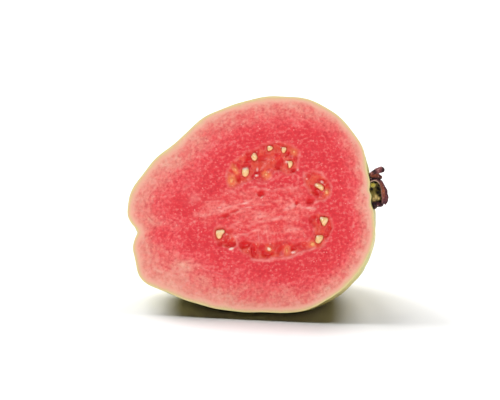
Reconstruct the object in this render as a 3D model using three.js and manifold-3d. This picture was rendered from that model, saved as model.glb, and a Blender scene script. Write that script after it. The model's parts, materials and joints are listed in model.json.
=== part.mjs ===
// Half of a pink-fleshed guava, cut lengthwise and lying back on a small flat
// spot of its belly. Millimetres, +Z up, origin at the middle of the bottom of
// the bounding box. The cut face looks towards -Y and leans back; the dried
// calyx is at the +X end and the stem pit at the -X end.
import * as THREE from 'three';
import { mergeVertices } from 'three/addons/utils/BufferGeometryUtils.js';
import Module from 'manifold-3d';

const wasm = await Module();
wasm.setup();

// ---------------------------------------------------------------- dimensions
const LEAN = THREE.MathUtils.degToRad(22);      // how far the cut face leans back from upright
const AXIS_RISE = THREE.MathUtils.degToRad(12); // slope of the stem-to-calyx axis within the cut face
const CUT_AHEAD = 4;        // the knife passed this far in front of the stem-to-calyx axis
const FLOOR_Z = -35.55;     // height of the resting surface below the cut face's centre
const SHIFT = [-0.237, -14.945, 35.55]; // cut-face centre to the part's origin
const SQUARE = 2.15;        // exponent of the cross-section: 2 is round, more is squarer
const BELLY = 0.5;          // added to it on the underside, which is fuller and rests steadily
const STEM_PIT_DEPTH = 5;   // depth of the pit where the stem came away
const STEM_PIT_WIDTH = 6.9; // its half-width, degrees seen from the centre
const RIDGE = 0.007;        // height of the ridges near the stem end, of the radius
const CLEAR = 0.3;          // gap kept between touching pieces

// Half-width of the fruit against the angle from the calyx, as cosine terms:
// the mean of the upper and lower sides, and how much the upper side exceeds it.
const MEAN = [40.82, 0.047, 3.061, -2.405, -0.353, -0.321, -0.415, 0.124, -0.43, 0.124, -0.077];
const UPPER = [0.279, 1.696, -1.061, 0.341, -0.128, -0.278, 0.05, -0.04, 0.114, -0.211];
// Small waves of the rim of the cut, from the 11th harmonic on: cosine, sine.
const WAVE_FROM = 11;
const WAVES = [[-0.009, 0.087], [-0.053, -0.16], [0.024, 0.074], [0.089, -0.049], [-0.043, -0.012],
  [0.109, -0.004], [-0.071, -0.045], [0.114, 0.011], [-0.029, -0.042], [0.094, 0.052]];

// Seeds: across and up the cut face from its centre, depth of the middle behind
// the face, half length, half width, half thickness, and the turn of the long
// axis from upright (degrees, anticlockwise), all as seen on the cut face.
const SEEDS = [
  [-1.08, 18.96, 0.25, 1.75, 1.20, 1.05, 8],
  [4.29, 22.21, 0.20, 1.10, 1.00, 0.90, -25],
  [9.18, 21.59, 0.20, 1.28, 0.98, 0.95, -10],
  [12.82, 21.07, 0.75, 1.00, 0.75, 0.75, 15],
  [11.44, 16.62, 0.25, 1.55, 1.18, 1.00, 12],
  [-4.00, 13.28, 0.25, 1.75, 1.32, 1.10, -18],
  [-7.84, 14.25, 0.75, 1.40, 0.90, 0.85, 28],
  [-8.61, 10.44, 0.75, 1.40, 1.15, 0.90, -8],
  [3.30, 12.75, 0.75, 1.00, 0.95, 0.85, 0],
  [22.07, 9.46, 0.30, 1.70, 1.45, 1.10, 48],
  [24.95, 7.38, 0.55, 0.90, 0.70, 0.70, -20],
  [24.15, -2.82, 0.20, 1.75, 1.45, 1.10, -12],
  [22.83, -8.76, 0.20, 1.75, 1.30, 1.10, -32],
  [20.55, -11.10, 0.60, 0.90, 0.85, 0.80, 40],
  [-12.10, -8.68, 0.20, 1.75, 1.45, 1.10, -15],
  [11.84, -13.72, 0.75, 1.55, 0.80, 0.75, 0],
  [5.55, -13.20, 0.65, 0.95, 0.85, 0.75, 30],
];

// Dried calyx: radius and position along the stem-to-calyx axis. Its own middle
// lies a little below and in front of that axis. The knife left a thin wall of
// the fruit in front of its recess.
const CROWN_AT = [-0.5, -0.5];
const RECESS_RADIUS = 6.3;
const RECESS_FLOOR = 40.25;
const WALL = 0.5;
const RING = [[4.6, 40.55], [5.7, 40.55], [6.0, 41.1], [5.85, 41.7], [5.4, 42.05], [4.9, 41.9], [4.55, 41.3]];
const DISC = [[0, 40.55], [3.6, 40.55], [3.65, 41.6], [3.4, 42.6], [2.8, 43.3], [1.8, 43.8], [0, 44.1]];
// Each sepal: points [along, up, back] of its middle line, half width, half
// thickness, and the direction of its width.
const SEPALS = {
  sepal_top: { path: [[42.75, 6.15, -1.2], [44.05, 6.6, -1.4], [45.5, 6.75, -1.6], [46.9, 6.45, -1.8]], half: [1.2, 1.45, 1.35, 0.9], thick: [0.7, 0.9, 0.95, 0.75], side: [0, 0.1, 1] },
  sepal_upper: { path: [[42.6, 5.0, -0.8], [43.5, 4.85, -0.9], [44.6, 4.6, -1.0], [45.7, 4.15, -1.2]], half: [1.5, 1.5, 1.3, 0.8], thick: [0.45, 0.5, 0.5, 0.4], side: [0, 0.2, 1] },
  sepal_back: { path: [[42.7, -0.4, 4.6], [43.9, -0.4, 5.4], [45.0, -0.2, 6.6], [45.4, 0.0, 7.9]], half: [2.6, 3.0, 2.6, 1.4], thick: [0.5, 0.6, 0.5, 0.4], side: [0, 1, 0] },
  sepal_lower: { path: [[42.6, -4.95, -1.4], [43.3, -5.15, -1.4], [44.1, -5.35, -1.5]], half: [1.7, 1.7, 1.3], thick: [0.8, 0.85, 0.6], side: [0, 0.1, 1] },
  sepal_front: { path: [[42.45, 3.72, -1.2], [43.7, 3.45, -1.2], [44.75, 2.45, -1.2], [45.45, 0.8, -1.2], [45.65, -1.3, -1.2], [45.6, -3.4, -1.2], [45.35, -5.0, -1.2]], half: [2.5, 2.6, 2.6, 2.6, 2.6, 2.5, 2.2], thick: [0.28, 0.3, 0.34, 0.4, 0.42, 0.42, 0.34], side: [0.3, 0.22, 1] },
};

// ------------------------------------------------------------------- helpers
const { sin, cos, abs, exp, sqrt, acos, asin, atan2, PI, min, max } = Math;
const smooth = (a, b, x) => { const t = min(1, max(0, (x - a) / (b - a))); return t * t * (3 - 2 * t); };

// Cut-face axes in the part's frame: across, up the face, and into the fruit.
const ACROSS = new THREE.Vector3(1, 0, 0);
const UP_FACE = new THREE.Vector3(0, sin(LEAN), cos(LEAN));
const INTO = new THREE.Vector3(0, cos(LEAN), -sin(LEAN));
const ALONG = ACROSS.clone().multiplyScalar(cos(AXIS_RISE)).addScaledVector(UP_FACE, sin(AXIS_RISE));
const OVER = ACROSS.clone().multiplyScalar(-sin(AXIS_RISE)).addScaledVector(UP_FACE, cos(AXIS_RISE));
const CENTRE = INTO.clone().multiplyScalar(CUT_AHEAD).add(new THREE.Vector3(...SHIFT));

// Frame of the fruit's own axis (along, over, into) about its centre.
const axisFrame = new THREE.Matrix4().makeBasis(ALONG, OVER, INTO).setPosition(CENTRE);
// Frame of the cut face (across, up, into) about the middle of the face.
const faceFrame = new THREE.Matrix4().makeBasis(ACROSS, UP_FACE, INTO).setPosition(new THREE.Vector3(...SHIFT));

// Distance from the centre to the skin in the direction (a, b, c) of the axis frame.
function reach(a, b, c) {
  const theta = acos(min(1, max(-1, a)));
  const h = sqrt(b * b + c * c) + 1e-9;
  let mean = 0, upper = 0;
  MEAN.forEach((m, k) => { mean += m * cos(k * theta); });
  UPPER.forEach((m, k) => { upper += m * cos(k * theta); });
  upper *= sin(theta);
  const side = mean + (b > 0 ? upper : -upper);
  const sq = SQUARE + (b > 0 ? 0 : BELLY * smooth(0.7, 1.3, theta) * (1 - smooth(1.9, 2.7, theta)));
  let r = (abs(c / h) ** sq * mean ** -sq + abs(b / h) ** sq * side ** -sq) ** (-1 / sq);
  r -= STEM_PIT_DEPTH * exp(-(((PI - theta) * 180 / PI / STEM_PIT_WIDTH) ** 3));
  const alpha = atan2(b, a);
  let wave = 0;
  WAVES.forEach(([p, q], k) => { wave += p * cos((WAVE_FROM + k) * alpha) + q * sin((WAVE_FROM + k) * alpha); });
  r += wave * exp(-(((r * c + CUT_AHEAD) / 7) ** 2));
  const ridge = cos(5 * atan2(c, b) + 0.6) * smooth(1.6, 2.7, theta) * sin(theta) * smooth(0, 14, r * c);
  return r * (1 + RIDGE * ridge);
}

// Moves a mesh into a frame, keeping its faces outward where the frame is mirrored.
function place(geometry, matrix) {
  geometry.applyMatrix4(matrix);
  if (matrix.determinant() < 0) {
    const index = geometry.index.array;
    for (let i = 0; i < index.length; i += 3) [index[i + 1], index[i + 2]] = [index[i + 2], index[i + 1]];
  }
  return geometry;
}

function solid(positions, index) {
  return new wasm.Manifold(new wasm.Mesh({
    numProp: 3, vertProperties: Float32Array.from(positions), triVerts: Uint32Array.from(index),
  }));
}

function solidOf(geometry, matrix) {
  const g = geometry.clone();
  g.deleteAttribute('normal');
  g.deleteAttribute('uv');
  const m = mergeVertices(g, 1e-4);
  if (matrix) place(m, matrix);
  return solid(m.attributes.position.array, m.index.array);
}

function geometryOf(manifold) {
  const mesh = manifold.getMesh();
  const g = new THREE.BufferGeometry();
  const points = new Float32Array(mesh.numVert * 3);
  for (let i = 0; i < mesh.numVert; i++) {
    for (let k = 0; k < 3; k++) points[3 * i + k] = mesh.vertProperties[mesh.numProp * i + k];
  }
  g.setAttribute('position', new THREE.BufferAttribute(points, 3));
  g.setIndex(new THREE.BufferAttribute(Uint32Array.from(mesh.triVerts), 1));
  g.computeVertexNormals();
  return g;
}

// ----------------------------------------------------------------- the fruit
function fruitSolid() {
  // Around the fruit: finer near the stem pit.
  const turns = [];
  for (let a = 0; a < 150; a += 6) turns.push(a);
  for (let a = 150; a < 168; a += 4.5) turns.push(a);
  for (let a = 168; a <= 192; a += 2.4) turns.push(a);
  for (let a = 196.5; a < 211; a += 4.5) turns.push(a);
  for (let a = 216; a < 360; a += 6) turns.push(a);
  // From the rim of the cut to the back: finer where the pit is.
  const steps = [0, 0.028, 0.056, 0.084, 0.112, 0.145, 0.19, 0.25, 0.32, 0.4, 0.48, 0.57, 0.66, 0.76, 0.88];
  const positions = [];
  const put = (a, b, c, r) => positions.push(a * r, b * r, c * r);
  for (const s of steps) {
    for (const deg of turns) {
      const alpha = deg * PI / 180;
      let rim = -0.1;
      for (let i = 0; i < 12; i++) rim = asin(-CUT_AHEAD / reach(cos(rim) * cos(alpha), cos(rim) * sin(alpha), sin(rim)));
      const psi = rim + (PI / 2 - rim) * s;
      const d = [cos(psi) * cos(alpha), cos(psi) * sin(alpha), sin(psi)];
      put(...d, s === 0 ? -CUT_AHEAD / d[2] : reach(...d));
    }
  }
  const n = turns.length;
  const back = positions.length / 3;
  put(0, 0, 1, reach(0, 0, 1));
  const face = positions.length / 3;
  positions.push(0, 0, -CUT_AHEAD);
  const index = [];
  for (let j = 0; j + 1 < steps.length; j++) {
    for (let i = 0; i < n; i++) {
      const p = j * n + i, q = j * n + (i + 1) % n, r = p + n, s = q + n;
      index.push(p, q, s, p, s, r);
    }
  }
  const last = (steps.length - 1) * n;
  for (let i = 0; i < n; i++) {
    index.push(last + i, last + (i + 1) % n, back);
    index.push((i + 1) % n, i, face);
  }
  const g = new THREE.BufferGeometry();
  g.setAttribute('position', new THREE.Float32BufferAttribute(positions, 3));
  g.setIndex(index);
  place(g, axisFrame);
  return solid(g.attributes.position.array, g.index.array);
}

// A seed: an egg with a slightly pointed end, in the frame of the cut face.
function seedGeometry([x, y, depth, long, wide, thick, turn], grow = 0, detail = 1) {
  const g = new THREE.IcosahedronGeometry(1, detail);
  g.deleteAttribute('normal');
  g.deleteAttribute('uv');
  const m = mergeVertices(g, 1e-4);
  const p = m.attributes.position;
  const a = THREE.MathUtils.degToRad(turn);
  for (let i = 0; i < p.count; i++) {
    const u = p.getX(i), v = p.getY(i), w = p.getZ(i);
    const taper = 1 - 0.16 * v;
    const px = u * (wide + grow) * taper, py = v * (long + grow), pz = w * (thick + grow);
    p.setXYZ(i, x + px * cos(a) - py * sin(a), y + px * sin(a) + py * cos(a), depth + pz);
  }
  return place(m, faceFrame);
}

// A closed turned solid about the calyx's axis.
function turned(profile, segments) {
  const closed = [...profile, profile[0]];
  const g = new THREE.LatheGeometry(closed.map(([r, s]) => new THREE.Vector2(r, s)), segments);
  // The lathe turns about its y axis; the fruit's axis is the frame's x axis.
  g.applyMatrix4(new THREE.Matrix4().makeBasis(new THREE.Vector3(0, 1, 0), new THREE.Vector3(1, 0, 0), new THREE.Vector3(0, 0, -1)));
  g.translate(0, ...CROWN_AT);
  return solidOf(g, axisFrame);
}

// A tapering, flattened lobe along a curve.
function lobeGeometry({ path, half, thick, side }, steps = 9, around = 10) {
  const curve = new THREE.CatmullRomCurve3(path.map((p) => new THREE.Vector3(...p)));
  const along = (values, t) => {
    const x = t * (values.length - 1), i = min(values.length - 2, Math.floor(x));
    return values[i] + (values[i + 1] - values[i]) * (x - i);
  };
  const positions = [], index = [];
  for (let j = 0; j <= steps; j++) {
    const t = j / steps;
    const c = curve.getPoint(t), d = curve.getTangent(t);
    const s = new THREE.Vector3(...side);
    s.addScaledVector(d, -s.dot(d)).normalize();
    const up = new THREE.Vector3().crossVectors(d, s);
    for (let i = 0; i < around; i++) {
      const a = 2 * PI * i / around;
      const p = c.clone().addScaledVector(s, cos(a) * along(half, t)).addScaledVector(up, sin(a) * along(thick, t));
      positions.push(p.x, p.y, p.z);
    }
  }
  for (let j = 0; j < steps; j++) {
    for (let i = 0; i < around; i++) {
      const p = j * around + i, q = j * around + (i + 1) % around;
      index.push(p, q, q + around, p, q + around, p + around);
    }
  }
  for (let i = 1; i + 1 < around; i++) {
    index.push(0, i + 1, i);
    index.push(steps * around, steps * around + i, steps * around + i + 1);
  }
  const g = new THREE.BufferGeometry();
  g.setAttribute('position', new THREE.Float32BufferAttribute(positions, 3));
  g.setIndex(index);
  return place(g, axisFrame);
}

function box(low, high, frame) {
  const g = new THREE.BoxGeometry(high[0] - low[0], high[1] - low[1], high[2] - low[2]);
  g.translate((low[0] + high[0]) / 2, (low[1] + high[1]) / 2, (low[2] + high[2]) / 2);
  return solidOf(g, frame);
}

// ---------------------------------------------------------------- the pieces
const group = new THREE.Group();
const material = (color, roughness) => new THREE.MeshStandardMaterial({ color, roughness, metalness: 0 });

function add(name, geometry, mat) {
  const mesh = new THREE.Mesh(geometry, mat);
  mesh.name = name;
  group.add(mesh);
}

// Everything in front of the knife's plane was cut away.
const inFront = box([-200, -200, -100], [200, 200, 0], faceFrame);
const behindWall = box([-200, -200, WALL], [200, 200, 100], faceFrame);
const inWall = box([-200, -200, -100], [200, 200, WALL + CLEAR], faceFrame);
// Everything below the resting surface is pressed flat.
const below = box([-200, -200, -100], [200, 200, 0], new THREE.Matrix4().makeTranslation(0, 0, FLOOR_Z + SHIFT[2]));

let fruit = fruitSolid().subtract(below);
for (const seed of SEEDS) {
  fruit = fruit.subtract(solidOf(seedGeometry(seed, CLEAR)));
}
fruit = fruit.subtract(turned([[0, RECESS_FLOOR], [RECESS_RADIUS, RECESS_FLOOR], [RECESS_RADIUS, 50], [0, 50]], 36).intersect(behindWall));
add('fruit_half', geometryOf(fruit), material(0xdd5a55, 0.45));

SEEDS.forEach((seed, i) => {
  add(`seed_${String(i + 1).padStart(2, '0')}`, seedGeometry(seed), material(0xf2cf8e, 0.4));
});

add('calyx_ring', geometryOf(turned(RING, 36).subtract(inWall)), material(0x4a2c22, 0.8));
add('calyx_disc', geometryOf(turned(DISC, 28).subtract(inWall)), material(0x6b5f2a, 0.85));
for (const [name, spec] of Object.entries(SEPALS)) {
  add(name, geometryOf(solidOf(lobeGeometry(spec)).subtract(inFront)), material(0x4b2a26, 0.8));
}

export default group;
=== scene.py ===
import json
import math

import bmesh
import bpy
import numpy as np
from mathutils import Matrix, Vector

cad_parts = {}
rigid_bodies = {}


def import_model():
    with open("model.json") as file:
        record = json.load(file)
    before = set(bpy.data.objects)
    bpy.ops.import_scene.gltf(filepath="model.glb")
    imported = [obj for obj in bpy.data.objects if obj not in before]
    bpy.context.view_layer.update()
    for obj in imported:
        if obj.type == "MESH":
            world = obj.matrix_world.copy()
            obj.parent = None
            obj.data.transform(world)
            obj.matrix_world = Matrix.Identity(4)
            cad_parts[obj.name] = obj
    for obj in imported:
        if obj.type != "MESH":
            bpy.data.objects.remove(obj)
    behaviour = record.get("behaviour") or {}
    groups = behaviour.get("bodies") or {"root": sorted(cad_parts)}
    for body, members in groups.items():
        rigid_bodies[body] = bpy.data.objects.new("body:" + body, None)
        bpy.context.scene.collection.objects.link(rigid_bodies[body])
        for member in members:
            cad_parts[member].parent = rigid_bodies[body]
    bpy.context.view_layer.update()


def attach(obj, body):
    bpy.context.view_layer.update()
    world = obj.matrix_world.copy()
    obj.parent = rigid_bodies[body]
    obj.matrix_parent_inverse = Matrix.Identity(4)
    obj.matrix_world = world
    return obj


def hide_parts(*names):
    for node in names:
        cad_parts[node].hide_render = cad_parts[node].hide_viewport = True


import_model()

# ------------------------------------------------------------------ dimensions
# Millimetres, the same numbers as the construction.
LEAN = math.radians(22)
RISE = math.radians(12)
CUT = 4.0
FLOOR = -35.55
SHIFT = np.array([-0.237, -14.945, 35.55])
SQUARE = 2.15
BELLY = 0.5
PIT_DEPTH, PIT_WIDTH = 5.0, 6.9
RIDGE = 0.007
MEAN = [40.82, 0.047, 3.061, -2.405, -0.353, -0.321, -0.415, 0.124, -0.43, 0.124, -0.077]
UPPER = [0.279, 1.696, -1.061, 0.341, -0.128, -0.278, 0.05, -0.04, 0.114, -0.211]
WAVE_FROM = 11
WAVES = [(-0.009, 0.087), (-0.053, -0.16), (0.024, 0.074), (0.089, -0.049), (-0.043, -0.012),
         (0.109, -0.004), (-0.071, -0.045), (0.114, 0.011), (-0.029, -0.042), (0.094, 0.052)]

ACROSS = np.array([1.0, 0.0, 0.0])
UPF = np.array([0.0, math.sin(LEAN), math.cos(LEAN)])
INTO = np.array([0.0, math.cos(LEAN), -math.sin(LEAN)])
ALONG = math.cos(RISE) * ACROSS + math.sin(RISE) * UPF
OVER = -math.sin(RISE) * ACROSS + math.cos(RISE) * UPF
CENTRE = INTO * CUT + SHIFT

# Seeds: across, up, depth, half length, half width, half thickness, turn (degrees), how far under the pulp (0 clear).
SEEDS = [
    (-1.08, 18.96, 0.25, 1.75, 1.20, 1.05, 8, 0.0),
    (4.29, 22.21, 0.20, 1.10, 1.00, 0.90, -25, 0.0),
    (9.18, 21.59, 0.20, 1.28, 0.98, 0.95, -10, 0.0),
    (12.82, 21.07, 0.75, 1.00, 0.75, 0.75, 15, 0.75),
    (11.44, 16.62, 0.25, 1.55, 1.18, 1.00, 12, 0.0),
    (-4.00, 13.28, 0.25, 1.75, 1.32, 1.10, -18, 0.0),
    (-7.84, 14.25, 0.75, 1.40, 0.90, 0.85, 28, 0.9),
    (-8.61, 10.44, 0.75, 1.40, 1.15, 0.90, -8, 1.0),
    (3.30, 12.75, 0.75, 1.00, 0.95, 0.85, 0, 1.0),
    (22.07, 9.46, 0.30, 1.70, 1.45, 1.10, 48, 0.0),
    (24.95, 7.38, 0.55, 0.90, 0.70, 0.70, -20, 0.5),
    (24.15, -2.82, 0.20, 1.75, 1.45, 1.10, -12, 0.0),
    (22.83, -8.76, 0.20, 1.75, 1.30, 1.10, -32, 0.0),
    (20.55, -11.10, 0.60, 0.90, 0.85, 0.80, 40, 0.6),
    (-12.10, -8.68, 0.20, 1.75, 1.45, 1.10, -15, 0.0),
    (11.84, -13.72, 0.75, 1.55, 0.80, 0.75, 0, 1.0),
    (5.55, -13.20, 0.65, 0.95, 0.85, 0.75, 30, 0.35),
]

# Angular outlines of the grains, across and up.
OUTLINES = {
    1: [(-1.81, 20.15), (-0.97, 20.65), (-0.42, 19.81), (0.07, 18.77), (-0.02, 17.90), (-0.82, 17.21), (-1.70, 17.66), (-2.33, 18.79)],
    2: [(3.35, 22.95), (4.30, 23.17), (5.28, 22.53), (5.43, 22.16), (4.76, 21.37), (3.73, 20.95), (3.31, 21.80)],
    3: [(8.52, 22.73), (9.47, 22.86), (10.11, 22.30), (10.04, 21.54), (9.29, 20.36), (8.61, 20.72), (8.28, 21.67)],
    4: [(12.10, 21.70), (12.85, 21.91), (13.54, 21.46), (13.48, 20.59), (12.73, 20.28), (12.04, 20.74)],
    5: [(10.36, 17.72), (11.11, 18.03), (11.97, 18.02), (12.53, 17.31), (12.52, 16.36), (11.98, 15.58), (11.14, 15.07), (10.92, 15.92), (10.78, 16.87)],
    6: [(-5.20, 14.44), (-4.26, 14.99), (-3.20, 14.93), (-2.75, 14.17), (-2.70, 13.03), (-3.35, 11.86), (-4.20, 11.58), (-5.09, 12.18), (-5.30, 13.32)],
    7: [(-8.70, 15.41), (-7.83, 15.25), (-7.12, 14.41), (-6.78, 13.46), (-7.24, 12.97), (-8.04, 13.61), (-8.66, 14.55)],
    8: [(-9.38, 11.46), (-8.53, 11.78), (-7.82, 11.03), (-7.68, 9.99), (-8.21, 9.01), (-9.17, 8.98), (-9.63, 9.92), (-9.64, 10.88)],
    9: [(2.33, 13.20), (3.08, 13.60), (4.04, 13.44), (4.28, 12.50), (3.53, 12.09), (2.56, 12.34)],
    10: [(20.49, 9.77), (20.94, 10.45), (22.07, 10.54), (22.94, 9.95), (23.80, 9.03), (23.78, 8.08), (23.13, 7.67), (22.36, 8.12), (21.38, 8.75), (20.61, 9.20)],
    11: [(24.50, 8.22), (25.27, 8.25), (25.60, 7.37), (25.12, 6.46), (24.33, 6.76), (24.19, 7.54)],
    12: [(22.78, -1.39), (23.99, -1.16), (25.45, -1.56), (25.99, -2.20), (25.52, -3.11), (24.79, -4.36), (24.14, -4.83), (23.67, -4.07), (23.22, -2.97), (22.81, -2.10)],
    13: [(21.72, -7.97), (22.59, -7.56), (23.82, -7.62), (24.33, -8.16), (24.11, -9.39), (23.59, -10.18), (22.73, -10.82), (21.83, -10.47), (21.42, -9.71), (21.64, -8.70)],
    14: [(19.93, -10.33), (20.70, -10.07), (21.39, -10.60), (21.31, -11.49), (20.55, -11.75), (19.75, -11.22)],
    15: [(-13.42, -7.57), (-12.31, -7.01), (-11.08, -6.92), (-10.22, -7.38), (-10.34, -8.12), (-11.09, -9.05), (-11.49, -10.18), (-12.25, -10.70), (-13.18, -10.13), (-13.52, -8.80)],
    16: [(11.34, -12.55), (12.01, -12.42), (12.38, -13.40), (12.28, -14.52), (11.78, -14.98), (11.24, -14.34), (11.15, -13.23)],
}

# Pulp-filled chambers around the core, outlined across and up the cut face.
CHAMBERS = [
    [(-10.7, 11.6), (-10.4, 14.2), (-9.0, 16.4), (-6.9, 18.4), (-4.2, 20.5), (-0.7, 21.9), (2.3, 23.3), (5.5, 24.2), (9.2, 24.0), (12.4, 23.0), (14.4, 21.0), (14.8, 18.2), (13.9, 15.3), (12.5, 13.0), (10.4, 13.0), (8.4, 14.2), (6.5, 13.8), (5.1, 11.5), (2.6, 10.5), (-0.3, 11.2), (-2.4, 10.2), (-4.9, 9.0), (-7.4, 7.6), (-9.6, 7.9)],
    [(16.3, 12.5), (17.2, 14.1), (20.0, 14.7), (22.8, 13.7), (24.8, 11.9), (26.3, 9.1), (26.1, 6.3), (24.2, 4.2), (21.7, 4.3), (20.0, 6.4), (17.4, 9.4)],
    [(19.1, -1.1), (21.6, -0.4), (24.7, -0.4), (26.9, -2.1), (27.5, -4.9), (26.2, -8.0), (24.8, -11.2), (22.1, -12.7), (19.3, -12.6), (19.4, -9.5), (20.9, -7.0), (20.5, -4.2)],
    [(-5.8, -11.1), (-1.5, -10.8), (2.3, -11.6), (5.7, -10.5), (10.1, -9.7), (13.9, -10.5), (16.4, -10.1), (19.2, -10.2), (21.4, -12.6), (18.4, -13.3), (15.0, -14.8), (10.4, -16.1), (6.0, -16.6), (2.0, -17.2), (-0.9, -16.6), (-4.1, -14.8)],
    [(-13.9, -6.7), (-11.5, -5.9), (-9.2, -7.2), (-6.5, -9.9), (-5.8, -12.4), (-7.3, -14.2), (-9.8, -13.5), (-12.4, -12.0), (-14.1, -9.9)],
]
CORE = [(-21.8, -2.6), (-17.2, 2.6), (-10.8, 6.0), (-4.8, 7.7), (-0.1, 8.2), (6.8, 7.2), (14.9, 8.7), (18.8, 5.1), (20.9, 1.4), (18.5, -0.8), (15.4, -2.8), (18.8, -8.0), (15.7, -9.7), (5.7, -10.1), (-1.5, -10.3), (-6.2, -9.3), (-11.5, -5.4), (-16.9, -5.0)]
# Small red hollows: across, up, half sizes, turn, depth.
HOLLOWS = [
    (7.6, 16.5, 1.45, 2.05, -15, 0.7), (0.1, 13.4, 0.93, 0.85, 0, 0.7), (-3.3, 17.9, 1.40, 0.93, -30, 0.5),
    (1.9, 18.7, 1.71, 1.40, 10, 0.45), (22.6, 11.2, 1.90, 1.15, 0, 0.9), (21.3, 7.7, 1.71, 0.95, -20, 0.6),
    (-4.1, 15.8, 1.70, 0.65, 5, 0.8), (10.5, 20.3, 0.75, 1.25, -25, 0.45), (-7.2, -0.5, 1.60, 0.60, 20, 0.3),
    (20.7, -4.2, 0.85, 1.00, 0, 0.35), (-8.4, -7.7, 1.70, 1.10, 10, 0.15), (4.0, -14.6, 1.60, 1.30, 0, 0.6),
    (1.7, 5.9, 1.40, 1.10, 0, 0.9), (19.0, 4.0, 1.79, 1.01, 5, 0.8), (14.5, 3.2, 0.93, 0.93, 0, 0.6),
    (-10.4, -1.9, 2.02, 0.86, 15, 0.6), (20.1, -2.3, 1.24, 1.40, 0, 0.5), (26.0, -5.5, 0.78, 1.71, 0, 0.5),
    (25.3, -7.7, 0.93, 0.93, 0, 0.6), (-3.3, -12.1, 2.02, 1.40, 0, 0.7), (0.1, -14.6, 0.93, 1.87, 0, 0.8),
    (5.3, -14.6, 2.02, 1.24, 0, 0.8), (8.6, -12.9, 1.60, 1.90, 0, 0.25), (14.0, -12.4, 1.05, 1.15, 0, 0.8), (16.0, -11.2, 0.9, 1.0, 0, 0.3),
    (-8.0, -12.2, 1.71, 1.09, 15, 0.8), (-11.6, -12.1, 1.20, 1.20, 0, 0.35), (12.8, 14.9, 0.93, 0.93, 0, 0.6),
    (-6.3, 11.2, 0.93, 1.40, 20, 0.5),
]
# Pale walls and fibres: half width, strength, points.
FIBRES = [
    (0.45, 0.55, [(-1.1, 8.2), (3.1, 7.5), (6.8, 7.2), (11.2, 8.3), (14.9, 8.7)]),
    (0.60, 0.60, [(-1.7, -5.5), (1.1, -4.5), (3.5, -3.4), (6.7, -2.8), (11.0, -2.2)]),
    (0.40, 0.55, [(-6.9, -9.6), (-2.5, -8.3), (1.2, -6.8)]),
    (0.30, 0.55, [(4.3, -6.8), (5.0, -10.4)]),
    (0.45, 0.75, [(16.8, 1.3), (19.0, 1.5), (20.9, 1.4)]),
    (0.35, 0.60, [(20.8, 3.5), (22.3, 4.1), (24.5, 4.7)]),
    (0.45, 0.80, [(-0.8, -17.3), (2.0, -17.7), (6.0, -17.0), (10.4, -16.4), (15.0, -15.1), (18.4, -13.5), (21.4, -12.6)]),
    (0.35, 0.55, [(16.3, 12.5), (16.7, 13.8), (18.4, 14.7), (20.9, 14.6), (23.1, 13.7), (25.1, 11.6), (26.3, 9.1)]),
    (0.40, 0.60, [(-6.1, -9.6), (-6.1, -12.4), (-7.0, -14.0)]),
    (0.30, 0.45, [(-7.8, 16.8), (-6.0, 18.7), (-4.2, 20.4)]),
    (0.35, 0.55, [(12.9, 11.2), (13.1, 13.7), (14.5, 12.5), (14.9, 10.0)]),
    (0.35, 0.60, [(12.6, 4.6), (13.6, 2.7), (16.0, 2.2)]),
    (0.30, 0.70, [(-12.4, -0.4), (-8.6, 1.0), (-4.3, 2.4), (-1.2, 3.5)]),
    (0.25, 0.60, [(-4.8, 0.8), (-2.0, 1.4), (1.7, 2.0), (5.2, 2.4)]),
    (0.25, 0.50, [(16.9, -7.1), (18.2, -8.6)]),
    (0.25, 0.45, [(13.1, -7.9), (12.9, -10.1)]),
    (0.25, 0.45, [(1.5, -7.1), (2.0, -11.8)]),
    (0.40, 0.40, [(-2.5, 11.0), (-0.2, 9.9), (3.0, 9.6), (6.0, 10.9), (8.5, 12.9)]),
    (0.30, 0.45, [(-20.0, -19.5), (-15.1, -21.9), (-10.5, -22.6)]),
    (1.80, 0.30, [(-22.6, 3.0), (-20.6, 3.8)]),
]
# Strength of the single cells in the flesh.
GRAIN = 5.0

# Blotches of the flesh: across, up, radius, paler (+) or redder (-).
BLOTCHES = [(-21.7, 3.3, 1.7, 0.55), (-25.0, -19.5, 6.5, 0.27), (-24.0, -21.0, 2.5, 0.14), (-31.6, -9.1, 3.0, -0.35), (-27.0, 1.2, 3.0, -0.30), (-2.7, -31.0, 1.6, -0.3),
            (5.0, 28.5, 3.5, 0.12), (-14.0, -16.0, 4.0, -0.15), (12.0, -20.0, 4.0, -0.12), (-36.6, -9.0, 2.4, -0.42), (-33.8, -9.4, 2.4, -0.25), (-30.0, -13.0, 2.6, -0.15)]
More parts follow.
